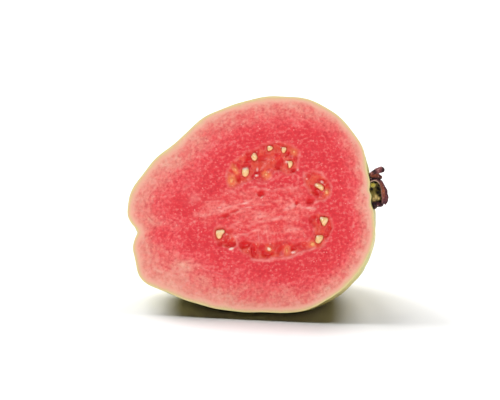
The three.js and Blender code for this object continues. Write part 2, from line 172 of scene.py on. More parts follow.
# Painted highlights on the juice, each also raised a little: across, up, half sizes, turn, strength.
PAINTED_GLINTS = [(-4.15, 14.61, 1.0, 0.45, 8, 1.0), (0.07, 14.46, 0.36, 0.60, 0, 0.55), (-0.02, 12.35, 0.60, 0.34, 5, 1.0), (-7.71, -13.72, 0.85, 0.42, 20, 1.0),
          (-9.64, -8.70, 0.32, 0.30, 0, 0.6), (14.09, -14.11, 0.78, 0.34, 12, 1.0), (5.45, -13.23, 0.65, 0.42, -35, 0.7), (2.20, 4.70, 0.62, 0.22, 48, 0.7),
          (18.76, 1.59, 0.95, 0.26, 8, 0.45), (10.41, 17.44, 0.60, 0.34, -10, 1.0), (22.95, 10.85, 0.65, 0.32, -35, 1.0), (20.95, 9.80, 0.55, 0.40, -30, 0.5),
          (-3.47, 2.43, 1.20, 0.22, 9, 0.5), (-2.10, 1.04, 1.60, 0.22, 2, 0.28), (14.39, 14.80, 0.35, 0.32, 0, 0.5), (17.66, 11.76, 0.32, 0.32, 0, 0.5),
          (-12.57, 0.61, 0.60, 0.28, 0, 0.4), (23.40, -1.75, 0.50, 0.34, -20, 0.6), (9.00, 22.35, 0.40, 0.32, 0, 0.5), (4.0, 22.6, 0.35, 0.30, 0, 0.5),
          (-1.3, 19.9, 0.35, 0.45, 0, 0.4), (22.3, -8.1, 0.40, 0.30, 0, 0.4), (-12.5, -7.7, 0.45, 0.32, 10, 0.4)]

CROWN_AT = (-0.5, -0.5)
RING = [(4.6, 40.55), (5.7, 40.55), (6.0, 41.1), (5.85, 41.7), (5.4, 42.05), (4.9, 41.9), (4.55, 41.3)]
DISC = [(0, 40.55), (3.6, 40.55), (3.65, 41.8), (3.6, 43.2), (3.2, 44.1), (2.1, 44.6), (0, 44.8)]
# Dried sepals: middle line (along, over, into), half width, half thickness, direction of the width.
# dark and warm say where a lobe is darkened or rusty: along it (0 root, 1 tip) and round it (+1 its lower side). The
# darkening on a lobe's lower side and at its root is painted shade; the rest is the dried lobe's own black.
SEPALS = {
    "sepal_top": dict(path=[(42.0, 5.7, -1.2), (42.9, 6.05, -1.2), (44.1, 6.5, -1.4), (45.5, 6.7, -1.6), (46.9, 6.35, -1.8)], half=[1.2, 1.3, 1.45, 1.35, 1.1], thick=[0.75, 0.95, 1.15, 1.15, 1.05], side=(0, 0.1, 1), channel=0.08,
                      dark=lambda f, s: 1.35 * np.exp(-((f - 0.36) / 0.15) ** 2) * (s < 0.45) + 1.2 * step(0.80, 0.90, f) + 0.6 * (s > 0.7), warm=lambda f, s: 0.35 * np.exp(-((f - 0.12) / 0.12) ** 2)),
    "sepal_upper": dict(path=[(41.2, 5.3, -0.6), (42.6, 5.0, -0.8), (44.2, 4.65, -1.0), (45.6, 3.85, -1.2)], half=[1.4, 1.5, 1.4, 1.0], thick=[1.05, 1.2, 1.1, 0.7], side=(0, 0.2, 1), channel=0.12,
                        dark=lambda f, s: step(-0.25, 0.35, s) + 0.5 * step(0.2, 0.0, f) + 0.35 * step(0.72, 0.95, f), warm=lambda f, s: 0.75 * (s < 0.1) * np.exp(-((f - 0.36) / 0.24) ** 2)),
    "sepal_back": dict(path=[(41.9, -0.5, 4.2), (43.4, -0.4, 5.0), (44.8, -0.2, 6.3), (45.4, 0.0, 7.9)], half=[3.0, 3.3, 2.8, 1.5], thick=[0.5, 0.6, 0.5, 0.4], side=(0, 1, 0),
                       dark=lambda f, s: 0.55 * step(0.5, 0.0, f), warm=lambda f, s: 0.4 * step(0.3, 0.8, f)),
    "sepal_lower": dict(path=[(41.0, -4.5, -1.5), (42.5, -4.9, -1.5), (43.6, -5.15, -1.55), (44.5, -5.3, -1.6)], half=[1.6, 1.7, 1.6, 1.2], thick=[1.15, 1.2, 1.05, 0.75], side=(0, 0.1, 1), channel=0.10,
                        dark=lambda f, s: 0.92 + 0 * f, warm=lambda f, s: 0 * f),
}
# The front sepal wraps the opening: its cut edge, and its outer border further in.
FRONT_EDGE = [(41.15, 2.78), (42.2, 3.10), (43.45, 2.84), (44.22, 1.78), (44.55, 0.30), (44.50, -1.64), (44.30, -3.72), (43.9, -5.2)]
FRONT_BACK = [(41.1, 4.37), (42.3, 4.61), (43.9, 4.27), (45.15, 2.88), (45.85, 1.14), (46.15, -1.07), (46.05, -3.45), (45.0, -5.4)]
# Relief inside the calyx, on the side that faces the cut: along, over, radius, height, kind.
INSIDE = [
    (42.04, 1.78, 0.80, 0.75, "bump"), (41.96, -0.69, 0.75, 0.30, "olive"), (42.9, 2.1, 0.5, 0.2, "olive"),
    (43.56, 0.45, 0.80, -0.95, "pit"), (43.33, -0.93, 0.75, -0.95, "pit"), (44.2, -0.1, 0.55, -0.8, "pit"), (43.9, -2.1, 0.6, -0.5, "pit"), (41.35, 0.4, 0.55, -0.5, "pit"), (44.2, 1.4, 0.5, -0.6, "pit"), (43.0, 2.6, 0.5, -0.4, "pit"),
    (42.35, -2.53, 0.55, 0.40, "strip"), (41.51, -3.27, 0.60, 0.45, "strip"), (43.2, -3.1, 0.45, 0.25, "strip"),
]


# ----------------------------------------------------------------------- noise
def _tables(seed):
    rs = np.random.RandomState(seed)
    perm = rs.permutation(256)
    grad = rs.normal(size=(256, 3))
    grad /= np.linalg.norm(grad, axis=1)[:, None]
    return np.concatenate([perm, perm]), grad


_PERM, _GRAD = _tables(11)


def noise(p, wave, seed=0):
    """Smooth noise of about -1..1 at points p (mm) with the given wavelength (mm)."""
    q = np.asarray(p, float) / wave + seed * 19.37
    i = np.floor(q).astype(int)
    f = q - i
    i &= 255
    w = f * f * f * (f * (f * 6 - 15) + 10)
    out = 0
    for dx in (0, 1):
        for dy in (0, 1):
            for dz in (0, 1):
                h = _PERM[_PERM[_PERM[(i[..., 0] + dx) & 255] + ((i[..., 1] + dy) & 255)] + ((i[..., 2] + dz) & 255)]
                d = f - np.array([dx, dy, dz])
                g = (_GRAD[h] * d).sum(-1)
                wx = w[..., 0] if dx else 1 - w[..., 0]
                wy = w[..., 1] if dy else 1 - w[..., 1]
                wz = w[..., 2] if dz else 1 - w[..., 2]
                out = out + g * wx * wy * wz
    return out * 1.6


def fbm(p, wave, octaves=3, seed=0):
    total, amp = 0, 1.0
    for k in range(octaves):
        total = total + amp * noise(p, wave / 2 ** k, seed + k * 3)
        amp *= 0.5
    return total


def step(a, b, x):
    t = np.clip((x - a) / (b - a), 0, 1)
    return t * t * (3 - 2 * t)


# ----------------------------------------------------------------- fruit shape
def reach(a, b, c):
    """Distance from the fruit's centre to its skin in the unit direction (a along, b over, c into)."""
    theta = np.arccos(np.clip(a, -1, 1))
    h = np.sqrt(b * b + c * c) + 1e-9
    mean = sum(m * np.cos(k * theta) for k, m in enumerate(MEAN))
    upper = sum(m * np.cos(k * theta) for k, m in enumerate(UPPER)) * np.sin(theta)
    side = mean + np.where(b > 0, upper, -upper)
    sq = SQUARE + np.where(b > 0, 0.0, BELLY * step(0.7, 1.3, theta) * (1 - step(1.9, 2.7, theta)))
    r = (np.abs(c / h) ** sq * mean ** -sq + np.abs(b / h) ** sq * side ** -sq) ** (-1 / sq)
    r = r - PIT_DEPTH * np.exp(-((np.degrees(np.pi - theta) / PIT_WIDTH) ** 3))
    alpha = np.arctan2(b, a)
    wave = sum(p * np.cos((WAVE_FROM + k) * alpha) + q * np.sin((WAVE_FROM + k) * alpha) for k, (p, q) in enumerate(WAVES))
    r = r + wave * np.exp(-(((r * c + CUT) / 7) ** 2))
    r = r - 1.0 * np.exp(-((r * b + 4.3) / 2.1) ** 2) * (a > 0) * np.exp(-(((r * c + CUT) / 7) ** 2))
    r = r + 0.8 * np.exp(-((alpha + 0.70) / 0.42) ** 2) * np.exp(-((r * c - 1.5) / 5.5) ** 2) * step(-CUT, -1.0, r * c)
    ridge = np.cos(5 * np.arctan2(c, b) + 0.6) * step(1.6, 2.7, theta) * np.sin(theta) * step(0, 14, r * c)
    return r * (1 + RIDGE * ridge)


def rim_angle(alpha):
    """Angle below the fruit's widest plane at which the cut leaves the skin, for a direction in the cut face."""
    psi = np.full_like(alpha, -0.1)
    for _ in range(14):
        psi = np.arcsin(-CUT / reach(np.cos(psi) * np.cos(alpha), np.cos(psi) * np.sin(alpha), np.sin(psi)))
    return psi


_TURN = np.linspace(-np.pi, np.pi, 1441)
_RIM = CUT / np.tan(-rim_angle(_TURN))
_SLOPE = np.gradient(_RIM, _TURN) / _RIM


def rim_radius(alpha):
    return np.interp(alpha, _TURN, _RIM)


def polygon_distance(u, v, poly):
    """Signed distance to a polygon's edge, negative inside."""
    best = np.full(u.shape, 1e9)
    inside = np.zeros(u.shape, bool)
    n = len(poly)
    for i in range(n):
        (x0, y0), (x1, y1) = poly[i], poly[(i + 1) % n]
        ex, ey = x1 - x0, y1 - y0
        t = np.clip(((u - x0) * ex + (v - y0) * ey) / (ex * ex + ey * ey), 0, 1)
        best = np.minimum(best, (u - x0 - t * ex) ** 2 + (v - y0 - t * ey) ** 2)
        inside ^= ((y0 > v) != (y1 > v)) & (u < (x1 - x0) * (v - y0) / (y1 - y0 + 1e-12) + x0)
    d = np.sqrt(best)
    return np.where(inside, -d, d)


def line_distance(u, v, pts):
    best = np.full(u.shape, 1e9)
    for (x0, y0), (x1, y1) in zip(pts[:-1], pts[1:]):
        ex, ey = x1 - x0, y1 - y0
        t = np.clip(((u - x0) * ex + (v - y0) * ey) / (ex * ex + ey * ey), 0, 1)
        best = np.minimum(best, (u - x0 - t * ex) ** 2 + (v - y0 - t * ey) ** 2)
    return np.sqrt(best)


def ellipse(u, v, x, y, ru, rv, turn):
    """1 on the outline of an ellipse, less inside."""
    a = math.radians(turn)
    du, dv = u - x, v - y
    return np.sqrt(((du * math.cos(a) + dv * math.sin(a)) / ru) ** 2 + ((-du * math.sin(a) + dv * math.cos(a)) / rv) ** 2)


_ANGLES = np.radians(np.arange(-180, 181))


def outline_reach(poly):
    """Middle of an outline, and the distance from it to the edge in each direction, with eased corners."""
    p = np.array(poly)
    c = p.mean(0)
    far = np.zeros(360)
    for k, a in enumerate(_ANGLES[:360]):
        dx, dy = math.cos(a), math.sin(a)
        for (x0, y0), (x1, y1) in zip(p - c, np.roll(p, -1, 0) - c):
            ex, ey = x1 - x0, y1 - y0
            det = dx * ey - dy * ex
            if abs(det) > 1e-9:
                t, k1 = (x0 * ey - y0 * ex) / det, (x0 * dy - y0 * dx) / det
                if t > 0 and -1e-6 <= k1 <= 1 + 1e-6:
                    far[k] = max(far[k], t)
    w = np.exp(-(np.arange(-24, 25) / 10.0) ** 2)
    far = sum(g * np.roll(far, j) for g, j in zip(w / w.sum(), range(-24, 25)))
    return c, np.r_[far, far[0]]


_GRAINS = {k: outline_reach(poly) for k, poly in OUTLINES.items()}


def grain_span(i, u, v):
    """1 on the outline of the grain, less inside."""
    x, y, depth, long, wide, thick, turn, under = SEEDS[i]
    if i + 1 not in _GRAINS:
        return ellipse(u, v, x, y, wide, long, turn)
    c, far = _GRAINS[i + 1]
    du, dv = u - c[0], v - c[1]
    return np.hypot(du, dv) / np.interp(np.arctan2(dv, du), _ANGLES, far)


# Mask of the painted highlights on the juice.
def painted_glint_mask(u, v):
    painted_glint = np.zeros_like(u)
    for x, y, ru, rv, turn, k in PAINTED_GLINTS:
        painted_glint = np.maximum(painted_glint, k * np.exp(-ellipse(u, v, x, y, ru, rv, turn) ** 4))
    return painted_glint


def face_fields(u, v):
    """Relief (mm, out of the face) and masks of the cut face."""
    p = np.stack([u, v, np.zeros_like(u)], -1)
    r = np.hypot(u, v)
    alpha = np.arctan2(v, u) - RISE
    alpha = (alpha + np.pi) % (2 * np.pi) - np.pi
    slope = np.interp(alpha, _TURN, _SLOPE)
    rim = (rim_radius(alpha) - r) / np.sqrt(1 + slope ** 2)
    # How far to the deepest red: nearer at the calyx end, farther at the stem end.
    width = 12.2 + 4.2 * np.cos(alpha + RISE - math.radians(197))
    red = np.clip(rim, 0, None) / width

    for x, y, rad, amount in BLOTCHES:
        red = red - amount * np.exp(-((u - x) ** 2 + (v - y) ** 2) / rad ** 2) * np.clip(red / 0.3, 0, 1)
    red = np.clip(red, 0, None)
    # Painted highlights: mask of the glints, also raised a little below.
    painted_glint = painted_glint_mask(u, v)
    around = np.degrees(alpha + RISE) % 360
    band = rim * np.interp(around, [0, 20, 60, 100, 140, 165, 200, 225, 250, 275, 300, 325, 345, 360], [1.3, 1.35, 1.2, 1.05, 1.0, 1.0, 1.15, 1.0, 1.05, 1.4, 1.2, 1.05, 1.15, 1.3])

    wob = np.stack([noise(p, 3.0, 21), noise(p, 3.0, 22)], -1) * 0.55
    uu, vv = u + wob[:, 0], v + wob[:, 1]
    jelly, wall = np.zeros_like(u), np.zeros_like(u)
    for poly in CHAMBERS:
        edge = polygon_distance(uu, vv, poly)
        jelly = np.maximum(jelly, step(0.8, -0.9, edge))
        wall = np.maximum(wall, np.exp(-((edge - 0.1) / 0.42) ** 2))
    core = step(2.5, -3.0, polygon_distance(uu, vv, CORE))
    pale = np.zeros_like(u)
    for w, k, pts in FIBRES:
        pale = np.maximum(pale, k * np.exp(-(line_distance(uu, vv, pts) / w) ** 2))
    pale = np.maximum(pale, 0.28 * wall) * np.clip(0.68 + 0.75 * noise(p, 2.2, 35), 0.12, 1.0)
    # Short, uneven fibres of the core run from the stem to the calyx.
    s = u * math.cos(RISE) + v * math.sin(RISE)
    t = -u * math.sin(RISE) + v * math.cos(RISE)
    streak = 1 - np.abs(noise(np.stack([s / 4.0, t + 0.06 * s + 0.8 * noise(p, 6.0, 33), s * 0], -1), 2.3, 31))
    streak = step(0.84, 1.0, streak) * core * (1 - 0.8 * jelly) * step(-0.25, 0.55, noise(p, 4.2, 34))
    pale = np.maximum(pale, 0.4 * streak)

    # The hollows dip into the face; their mask, stronger where deeper, also carries painted shade.
    hollow = np.zeros_like(u)
    dip = np.zeros_like(u)
    for x, y, ru, rv, turn, depth in HOLLOWS:
        q = ellipse(uu, vv, x, y, ru, rv, turn)
        m = step(1.35, 0.45, q)
        hollow = np.maximum(hollow, m * (0.65 + 0.5 * depth))
        dip = np.maximum(dip, m * depth * 1.15)

    grain = noise(p, 0.95, 1) * 0.06 + noise(p, 0.55, 2) * 0.03 + noise(p, 2.3, 3) * 0.08 + noise(p, 6.5, 4) * 0.14
    h = grain * step(0.2, 2.0, rim)
    wet = noise(p, 1.9, 5)
    h -= jelly * (0.30 + 0.24 * wet)
    h += 0.16 * pale * (1 - hollow)
    h -= dip * 0.8
    h += 0.22 * painted_glint
    amber = np.zeros_like(u)
    groove_shade = np.zeros_like(u)
    for i, (x, y, depth, long, wide, thick, turn, under) in enumerate(SEEDS):
        q = grain_span(i, u, v)
        size = 0.5 * (wide + long)
        gap = (q - 1) * size
        halo = (0.25 + 0.75 * under) * (0.40 if long > 1.7 * wide else 1.0)
        amber = np.maximum(amber, halo * np.exp(-(np.clip(gap, 0, None) / (0.40 + 0.45 * under)) ** 2))
        if under > 0.3:
            # The pulp closes over the sides of a sunken grain.
            crest = -depth + 0.95 * thick * np.sqrt(np.clip(1 - q ** 2, 0, 1))
            h = np.where(q < 1.3, np.maximum(h, -0.32 + 0.05 * wet), h)
            h = np.where(q < 0.95, np.minimum(h, np.where(q < 0.72, crest - 0.15, h)), h)
        else:
            groove = np.exp(-((gap - 0.2) / 0.34) ** 2)
            h = np.where(gap > -0.05, h - 0.08 * groove, h)
            # Mask of the groove, for painted shade in the flesh colour.
            groove_shade = np.maximum(groove_shade, groove)
            bowl = -(depth + thick * np.sqrt(np.clip(1 - (q / 1.06) ** 2, 0, 1)) + 0.12)
            h = np.where(q < 0.97, np.minimum(h, bowl), h)
    # Cells are drawn out round the fruit outside, and along the core inside.
    wide_r = 15.0
    ringed = np.stack([wide_r * np.cos(alpha), wide_r * np.sin(alpha), rim], -1)
    flow = np.stack([s / 2.4, t + 0.05 * s, s * 0], -1)
    inner = step(0.95, 1.25, red + 0.10 * noise(p, 5.0, 36))
    return dict(h=h, rim=rim, red=red, jelly=jelly, core=core, pale=pale, hollow=np.clip(hollow, 0, 1), amber=amber, groove_shade=groove_shade,
                inner=inner, painted_glint=painted_glint, band=np.clip(band, 0, None), ringed=ringed, flow=flow)


def concentric(n):
    """An (n+1) x (n+1) grid on the unit disc: radius and angle of each point."""
    g = np.linspace(-1, 1, n + 1)
    x, y = np.meshgrid(g, g, indexing="ij")
    wide = np.abs(x) > np.abs(y)
    with np.errstate(divide="ignore", invalid="ignore"):
        rad = np.where(wide, x, y)
        ang = np.where(wide, (np.pi / 4) * np.nan_to_num(y / np.where(x == 0, 1, x)), np.pi / 2 - (np.pi / 4) * np.nan_to_num(x / np.where(y == 0, 1, y)))
    ang = np.where(rad < 0, ang + np.pi, ang)
    return np.abs(rad), ang


def mesh_object(name, verts, faces, smooth=True):
    me = bpy.data.meshes.new(name)
    me.from_pydata([tuple(p) for p in verts], [], [tuple(f) for f in faces])
    me.validate()
    me.update()
    if smooth:
        me.polygons.foreach_set("use_smooth", [True] * len(me.polygons))
    ob = bpy.data.objects.new(name, me)
    bpy.context.scene.collection.objects.link(ob)
    return ob


def set_attribute(ob, name, values):
    values = np.asarray(values, np.float32)
    if values.ndim == 2:
        at = ob.data.attributes.new(name, "FLOAT_VECTOR", "POINT")
        at.data.foreach_set("vector", values.ravel())
    else:
        at = ob.data.attributes.new(name, "FLOAT", "POINT")
        at.data.foreach_set("value", values)


def build_fruit(n):
    rad, ang = concentric(n)
    idx = np.arange((n + 1) ** 2).reshape(n + 1, n + 1)
    flat_r, flat_a = rad.ravel(), ang.ravel()
    alpha = (flat_a + np.pi) % (2 * np.pi) - np.pi
    edge = np.zeros((n + 1, n + 1), bool)
    edge[0, :] = edge[-1, :] = edge[:, 0] = edge[:, -1] = True
    edge = edge.ravel()

    # Cut face, finer towards the middle.
    g = flat_r * (0.86 + 0.14 * flat_r ** 2)
    rr = rim_radius(alpha) * g
    s, t = rr * np.cos(alpha), rr * np.sin(alpha)
    u = s * math.cos(RISE) - t * math.sin(RISE)
    v = s * math.sin(RISE) + t * math.cos(RISE)
    f = face_fields(u, v)
    h = np.where(edge, 0, f["h"])
    face_pts = SHIFT + u[:, None] * ACROSS + v[:, None] * UPF - h[:, None] * INTO

    # Skin.
    psi0 = rim_angle(alpha)
    psi = np.pi / 2 - (np.pi / 2 - psi0) * flat_r
    d = np.stack([np.cos(psi) * np.cos(alpha), np.cos(psi) * np.sin(alpha), np.sin(psi)], -1)
    r = reach(d[:, 0], d[:, 1], d[:, 2])
    q = d * r[:, None]
    theta = np.arccos(np.clip(d[:, 0], -1, 1))
    from_rim = (psi - psi0) * 38.0
    away = step(0.0, 7.0, from_rim)
    lump = fbm(q, 11.0, 2, 41)
    crease = 1 - np.abs(fbm(q * np.array([0.75, 1, 1]), 6.5, 2, 47))
    crease = step(0.78, 1.0, crease) * (0.25 + 0.75 * step(-0.2, 0.35, noise(q, 26.0, 61)))
    dimple = fbm(q, 2.4, 2, 53)
    pit = np.exp(-((np.degrees(np.pi - theta) / 9.0) ** 2))
    relief = (0.44 * lump - 0.34 * crease + 0.09 * dimple) * away * (1 - 0.6 * pit)
    # Puckers that run into the stem pit and into the calyx.
    around = np.arctan2(d[:, 2], d[:, 1])
    relief += 0.30 * np.cos(9 * around + 1.5 * lump) * np.exp(-((np.degrees(np.pi - theta) - 12) / 7.0) ** 2) * away
    relief += 0.22 * np.cos(11 * around + 1.2 * lump) * np.exp(-((np.degrees(theta) - 12) / 5.0) ** 2) * away
    scar = step(4.2, 2.6, np.degrees(np.pi - theta) + 0.5 * dimple)
    relief += 0.5 * scar
    # The calyx sits in a shallow recess inside a low lip.
    crown_r = np.hypot(q[:, 1] - CROWN_AT[0], q[:, 2] - CROWN_AT[1])
    behind = step(-2.2, 0.6, q[:, 2]) * (d[:, 0] > 0)
    lip = np.exp(-((crown_r - 6.9 - 0.3 * dimple) / 0.75) ** 2) * behind
    bed = step(6.6, 5.4, crown_r + 0.25 * dimple) * behind
    relief += 0.35 * lip - 0.8 * bed
    q = d * (r + relief)[:, None]
    skin_pts = CENTRE + q @ np.stack([ALONG, OVER, INTO])
    low = skin_pts[:, 2]
    k = 0.6
    # Mask of the spot pressed on the floor, for painted shade on the skin.
    pressed_shade = step(1.2, -0.6, low)
    skin_pts[:, 2] = np.where(low > k, low, np.where(low < -k, 0, (low + k) ** 2 / (4 * k)))

    inner = ~edge
    remap = np.empty((n + 1) ** 2, int)
    remap[edge] = idx.ravel()[edge]
    remap[inner] = (n + 1) ** 2 + np.arange(inner.sum())
    verts = np.concatenate([face_pts, skin_pts[inner]]) / 1000

    a, b, c, e = idx[:-1, :-1].ravel(), idx[1:, :-1].ravel(), idx[1:, 1:].ravel(), idx[:-1, 1:].ravel()
    front = np.stack([a, b, c, e], -1)
    rear = remap[np.stack([e, c, b, a], -1)]
    faces = np.concatenate([front, rear])
    ob = mesh_object("guava_half", verts, faces)
    me = ob.data
    count = len(front)
    me.materials.append(None)
    me.materials.append(None)
    me.polygons.foreach_set("material_index", np.r_[np.zeros(count, int), np.ones(len(rear), int)])

    def both(name, on_face, on_skin):
        shape = np.shape(on_face)[1:]
        values = np.empty((len(verts),) + shape)
        values[: (n + 1) ** 2] = on_face
        values[(n + 1) ** 2:] = np.broadcast_to(on_skin, edge.shape + shape)[inner]
        set_attribute(ob, name, values)

    both("rim", np.clip(f["rim"], 0, None), 0.0)
    for key in ("red", "jelly", "core", "pale", "hollow", "amber", "groove_shade", "inner", "painted_glint", "band"):
        both(key, f[key], 0.0)
    both("ringed", f["ringed"], q)
    both("flow", f["flow"], q)
    both("bed", 0.0, bed)
    both("from_rim", 0.0, from_rim)
    both("lump", 0.5, 0.5 + 0.5 * np.clip(lump, -1, 1))
    both("crease", 0.0, crease * away)
    both("scar", 0.0, scar)
    both("pit", pit * 0.6, pit)
    both("crown", 0.0, np.exp(-((np.degrees(theta) / 11.0) ** 2)))
    # Masks for the painted shade on the pressed spot and on the lower skin.
    both("pressed_shade", 0.0, pressed_shade)
    both("low", 0.0, step(17.0, 4.0, skin_pts[:, 2]))
    # Coordinates of the cut face for the grain: across, up and outwards direction.
    layer = me.uv_layers.new(name="OFBake")
    lo_u, hi_u, lo_v, hi_v = u.min(), u.max(), v.min(), v.max()
    fu = 0.012 + 0.976 * (u - lo_u) / (hi_u - lo_u)
    fv = 0.012 + 0.558 * (v - lo_v) / (hi_v - lo_v)
    su = 0.5 + 0.488 * flat_r * np.cos(flat_a)
    sv = 0.79 + 0.198 * flat_r * np.sin(flat_a)
    loops_front = np.stack([fu[front.ravel()], fv[front.ravel()]], -1)
    old = np.stack([e, c, b, a], -1).ravel()
    loops_rear = np.stack([su[old], sv[old]], -1)
    layer.data.foreach_set("uv", np.concatenate([loops_front, loops_rear]).astype(np.float32).ravel())
    # The knife leaves a crisp edge between flesh and skin.
    on_rim = np.zeros(len(verts), bool)
    on_rim[: (n + 1) ** 2] = edge
    pairs = np.empty(len(me.edges) * 2, np.int32)
    me.edges.foreach_get("vertices", pairs)
    pairs = pairs.reshape(-1, 2)
    sharp = me.attributes.new("sharp_edge", "BOOLEAN", "EDGE")
    sharp.data.foreach_set("value", on_rim[pairs].all(1))
    return ob


# ------------------------------------------------------------------- materials
def lin(r, g, b, gain=1.0):
    def one(c):
        c /= 255
        return c / 12.92 if c <= 0.04045 else ((c + 0.055) / 1.055) ** 2.4
    return (min(one(r) * gain, 1), min(one(g) * gain, 1), min(one(b) * gain, 1), 1)


class Nodes:
    def __init__(self, name):
        self.mat = bpy.data.materials.new(name)
        self.mat.use_nodes = True
        self.tree = self.mat.node_tree
        self.tree.nodes.clear()
        self.out = self.tree.nodes.new("ShaderNodeOutputMaterial")
        self.bsdf = self.tree.nodes.new("ShaderNodeBsdfPrincipled")
        self.tree.links.new(self.bsdf.outputs[0], self.out.inputs[0])
        self.coords = self.tree.nodes.new("ShaderNodeTexCoord")

    def put(self, groove_shade, value):
        if isinstance(value, bpy.types.NodeSocket):
            self.tree.links.new(value, groove_shade)
        else:
            groove_shade.default_value = value

    def attr(self, name):
        n = self.tree.nodes.new("ShaderNodeAttribute")
        n.attribute_name = name
        return n.outputs["Fac"]

    def vector(self, name):
        n = self.tree.nodes.new("ShaderNodeAttribute")
        n.attribute_name = name
        return n.outputs["Vector"]

    def blend(self, fac, a, b):
        n = self.tree.nodes.new("ShaderNodeMix")
        n.data_type = "FLOAT"
        n.clamp_factor = True
        self.put(n.inputs[0], fac)
        self.put(n.inputs[2], a)
        self.put(n.inputs[3], b)
        return n.outputs[0]

    def place(self, scale=(1000, 1000, 1000), rotation=(0, 0, 0), location=(0, 0, 0)):
        n = self.tree.nodes.new("ShaderNodeMapping")
        n.inputs["Scale"].default_value = scale
        n.inputs["Rotation"].default_value = rotation
        n.inputs["Location"].default_value = location
        self.tree.links.new(self.coords.outputs["Object"], n.inputs["Vector"])
        return n.outputs[0]

    def noise(self, vector, scale, detail=2.0, rough=0.5, distort=0.0):
        n = self.tree.nodes.new("ShaderNodeTexNoise")
        n.noise_dimensions = "3D"
        self.put(n.inputs["Vector"], vector)
        n.inputs["Scale"].default_value = scale
        n.inputs["Detail"].default_value = detail
        n.inputs["Roughness"].default_value = rough
        n.inputs["Distortion"].default_value = distort
        return n.outputs["Fac"]

    def cells(self, vector, scale, feature="F1", output="Distance", random=1.0):
        n = self.tree.nodes.new("ShaderNodeTexVoronoi")
        n.feature = feature
        self.put(n.inputs["Vector"], vector)
        n.inputs["Scale"].default_value = scale
        n.inputs["Randomness"].default_value = random
        return n.outputs[output]

    def math(self, op, a, b=0.0, c=0.0, clamp=False):
        n = self.tree.nodes.new("ShaderNodeMath")
        n.operation = op
        n.use_clamp = clamp
        self.put(n.inputs[0], a)
        self.put(n.inputs[1], b)
        self.put(n.inputs[2], c)
        return n.outputs[0]

    def span(self, x, lo, hi, a=0.0, b=1.0, smooth=True):
        n = self.tree.nodes.new("ShaderNodeMapRange")
        n.interpolation_type = "SMOOTHSTEP" if smooth else "LINEAR"
        n.clamp = True
        self.put(n.inputs["Value"], x)
        n.inputs["From Min"].default_value = lo
        n.inputs["From Max"].default_value = hi
        n.inputs["To Min"].default_value = a
        n.inputs["To Max"].default_value = b
        return n.outputs[0]

    def mix(self, fac, a, b, mode="MIX"):
        n = self.tree.nodes.new("ShaderNodeMix")
        n.data_type = "RGBA"
        n.blend_type = mode
        n.clamp_factor = True
        self.put(n.inputs[0], fac)
        self.put(n.inputs[6], a)
        self.put(n.inputs[7], b)
        return n.outputs[2]

    def ramp(self, fac, stops, interpolation="LINEAR"):
        n = self.tree.nodes.new("ShaderNodeValToRGB")
        n.color_ramp.interpolation = interpolation
        el = n.color_ramp.elements
        while len(el) < len(stops):
            el.new(0.5)
        for e, (pos, col) in zip(el, stops):
            e.position = pos
            e.color = col
        self.put(n.inputs[0], fac)
        return n.outputs[0]

    def bump(self, height, strength, distance, normal=None):
        n = self.tree.nodes.new("ShaderNodeBump")
        n.inputs["Strength"].default_value = strength
        n.inputs["Distance"].default_value = distance
        self.put(n.inputs["Height"], height)
        if normal is not None:
            self.put(n.inputs["Normal"], normal)
        return n.outputs[0]

    def set(self, **values):
        names = {"color": "Base Color", "rough": "Roughness", "normal": "Normal", "coat": "Coat Weight",
                 "coat_rough": "Coat Roughness", "coat_normal": "Coat Normal", "sss": "Subsurface Weight",
                 "sss_radius": "Subsurface Radius", "sss_scale": "Subsurface Scale", "ior": "IOR",
                 "spec": "Specular IOR Level", "sheen": "Sheen Weight"}
        for k, v in values.items():
            self.put(self.bsdf.inputs[names[k]], v)
        return self.mat


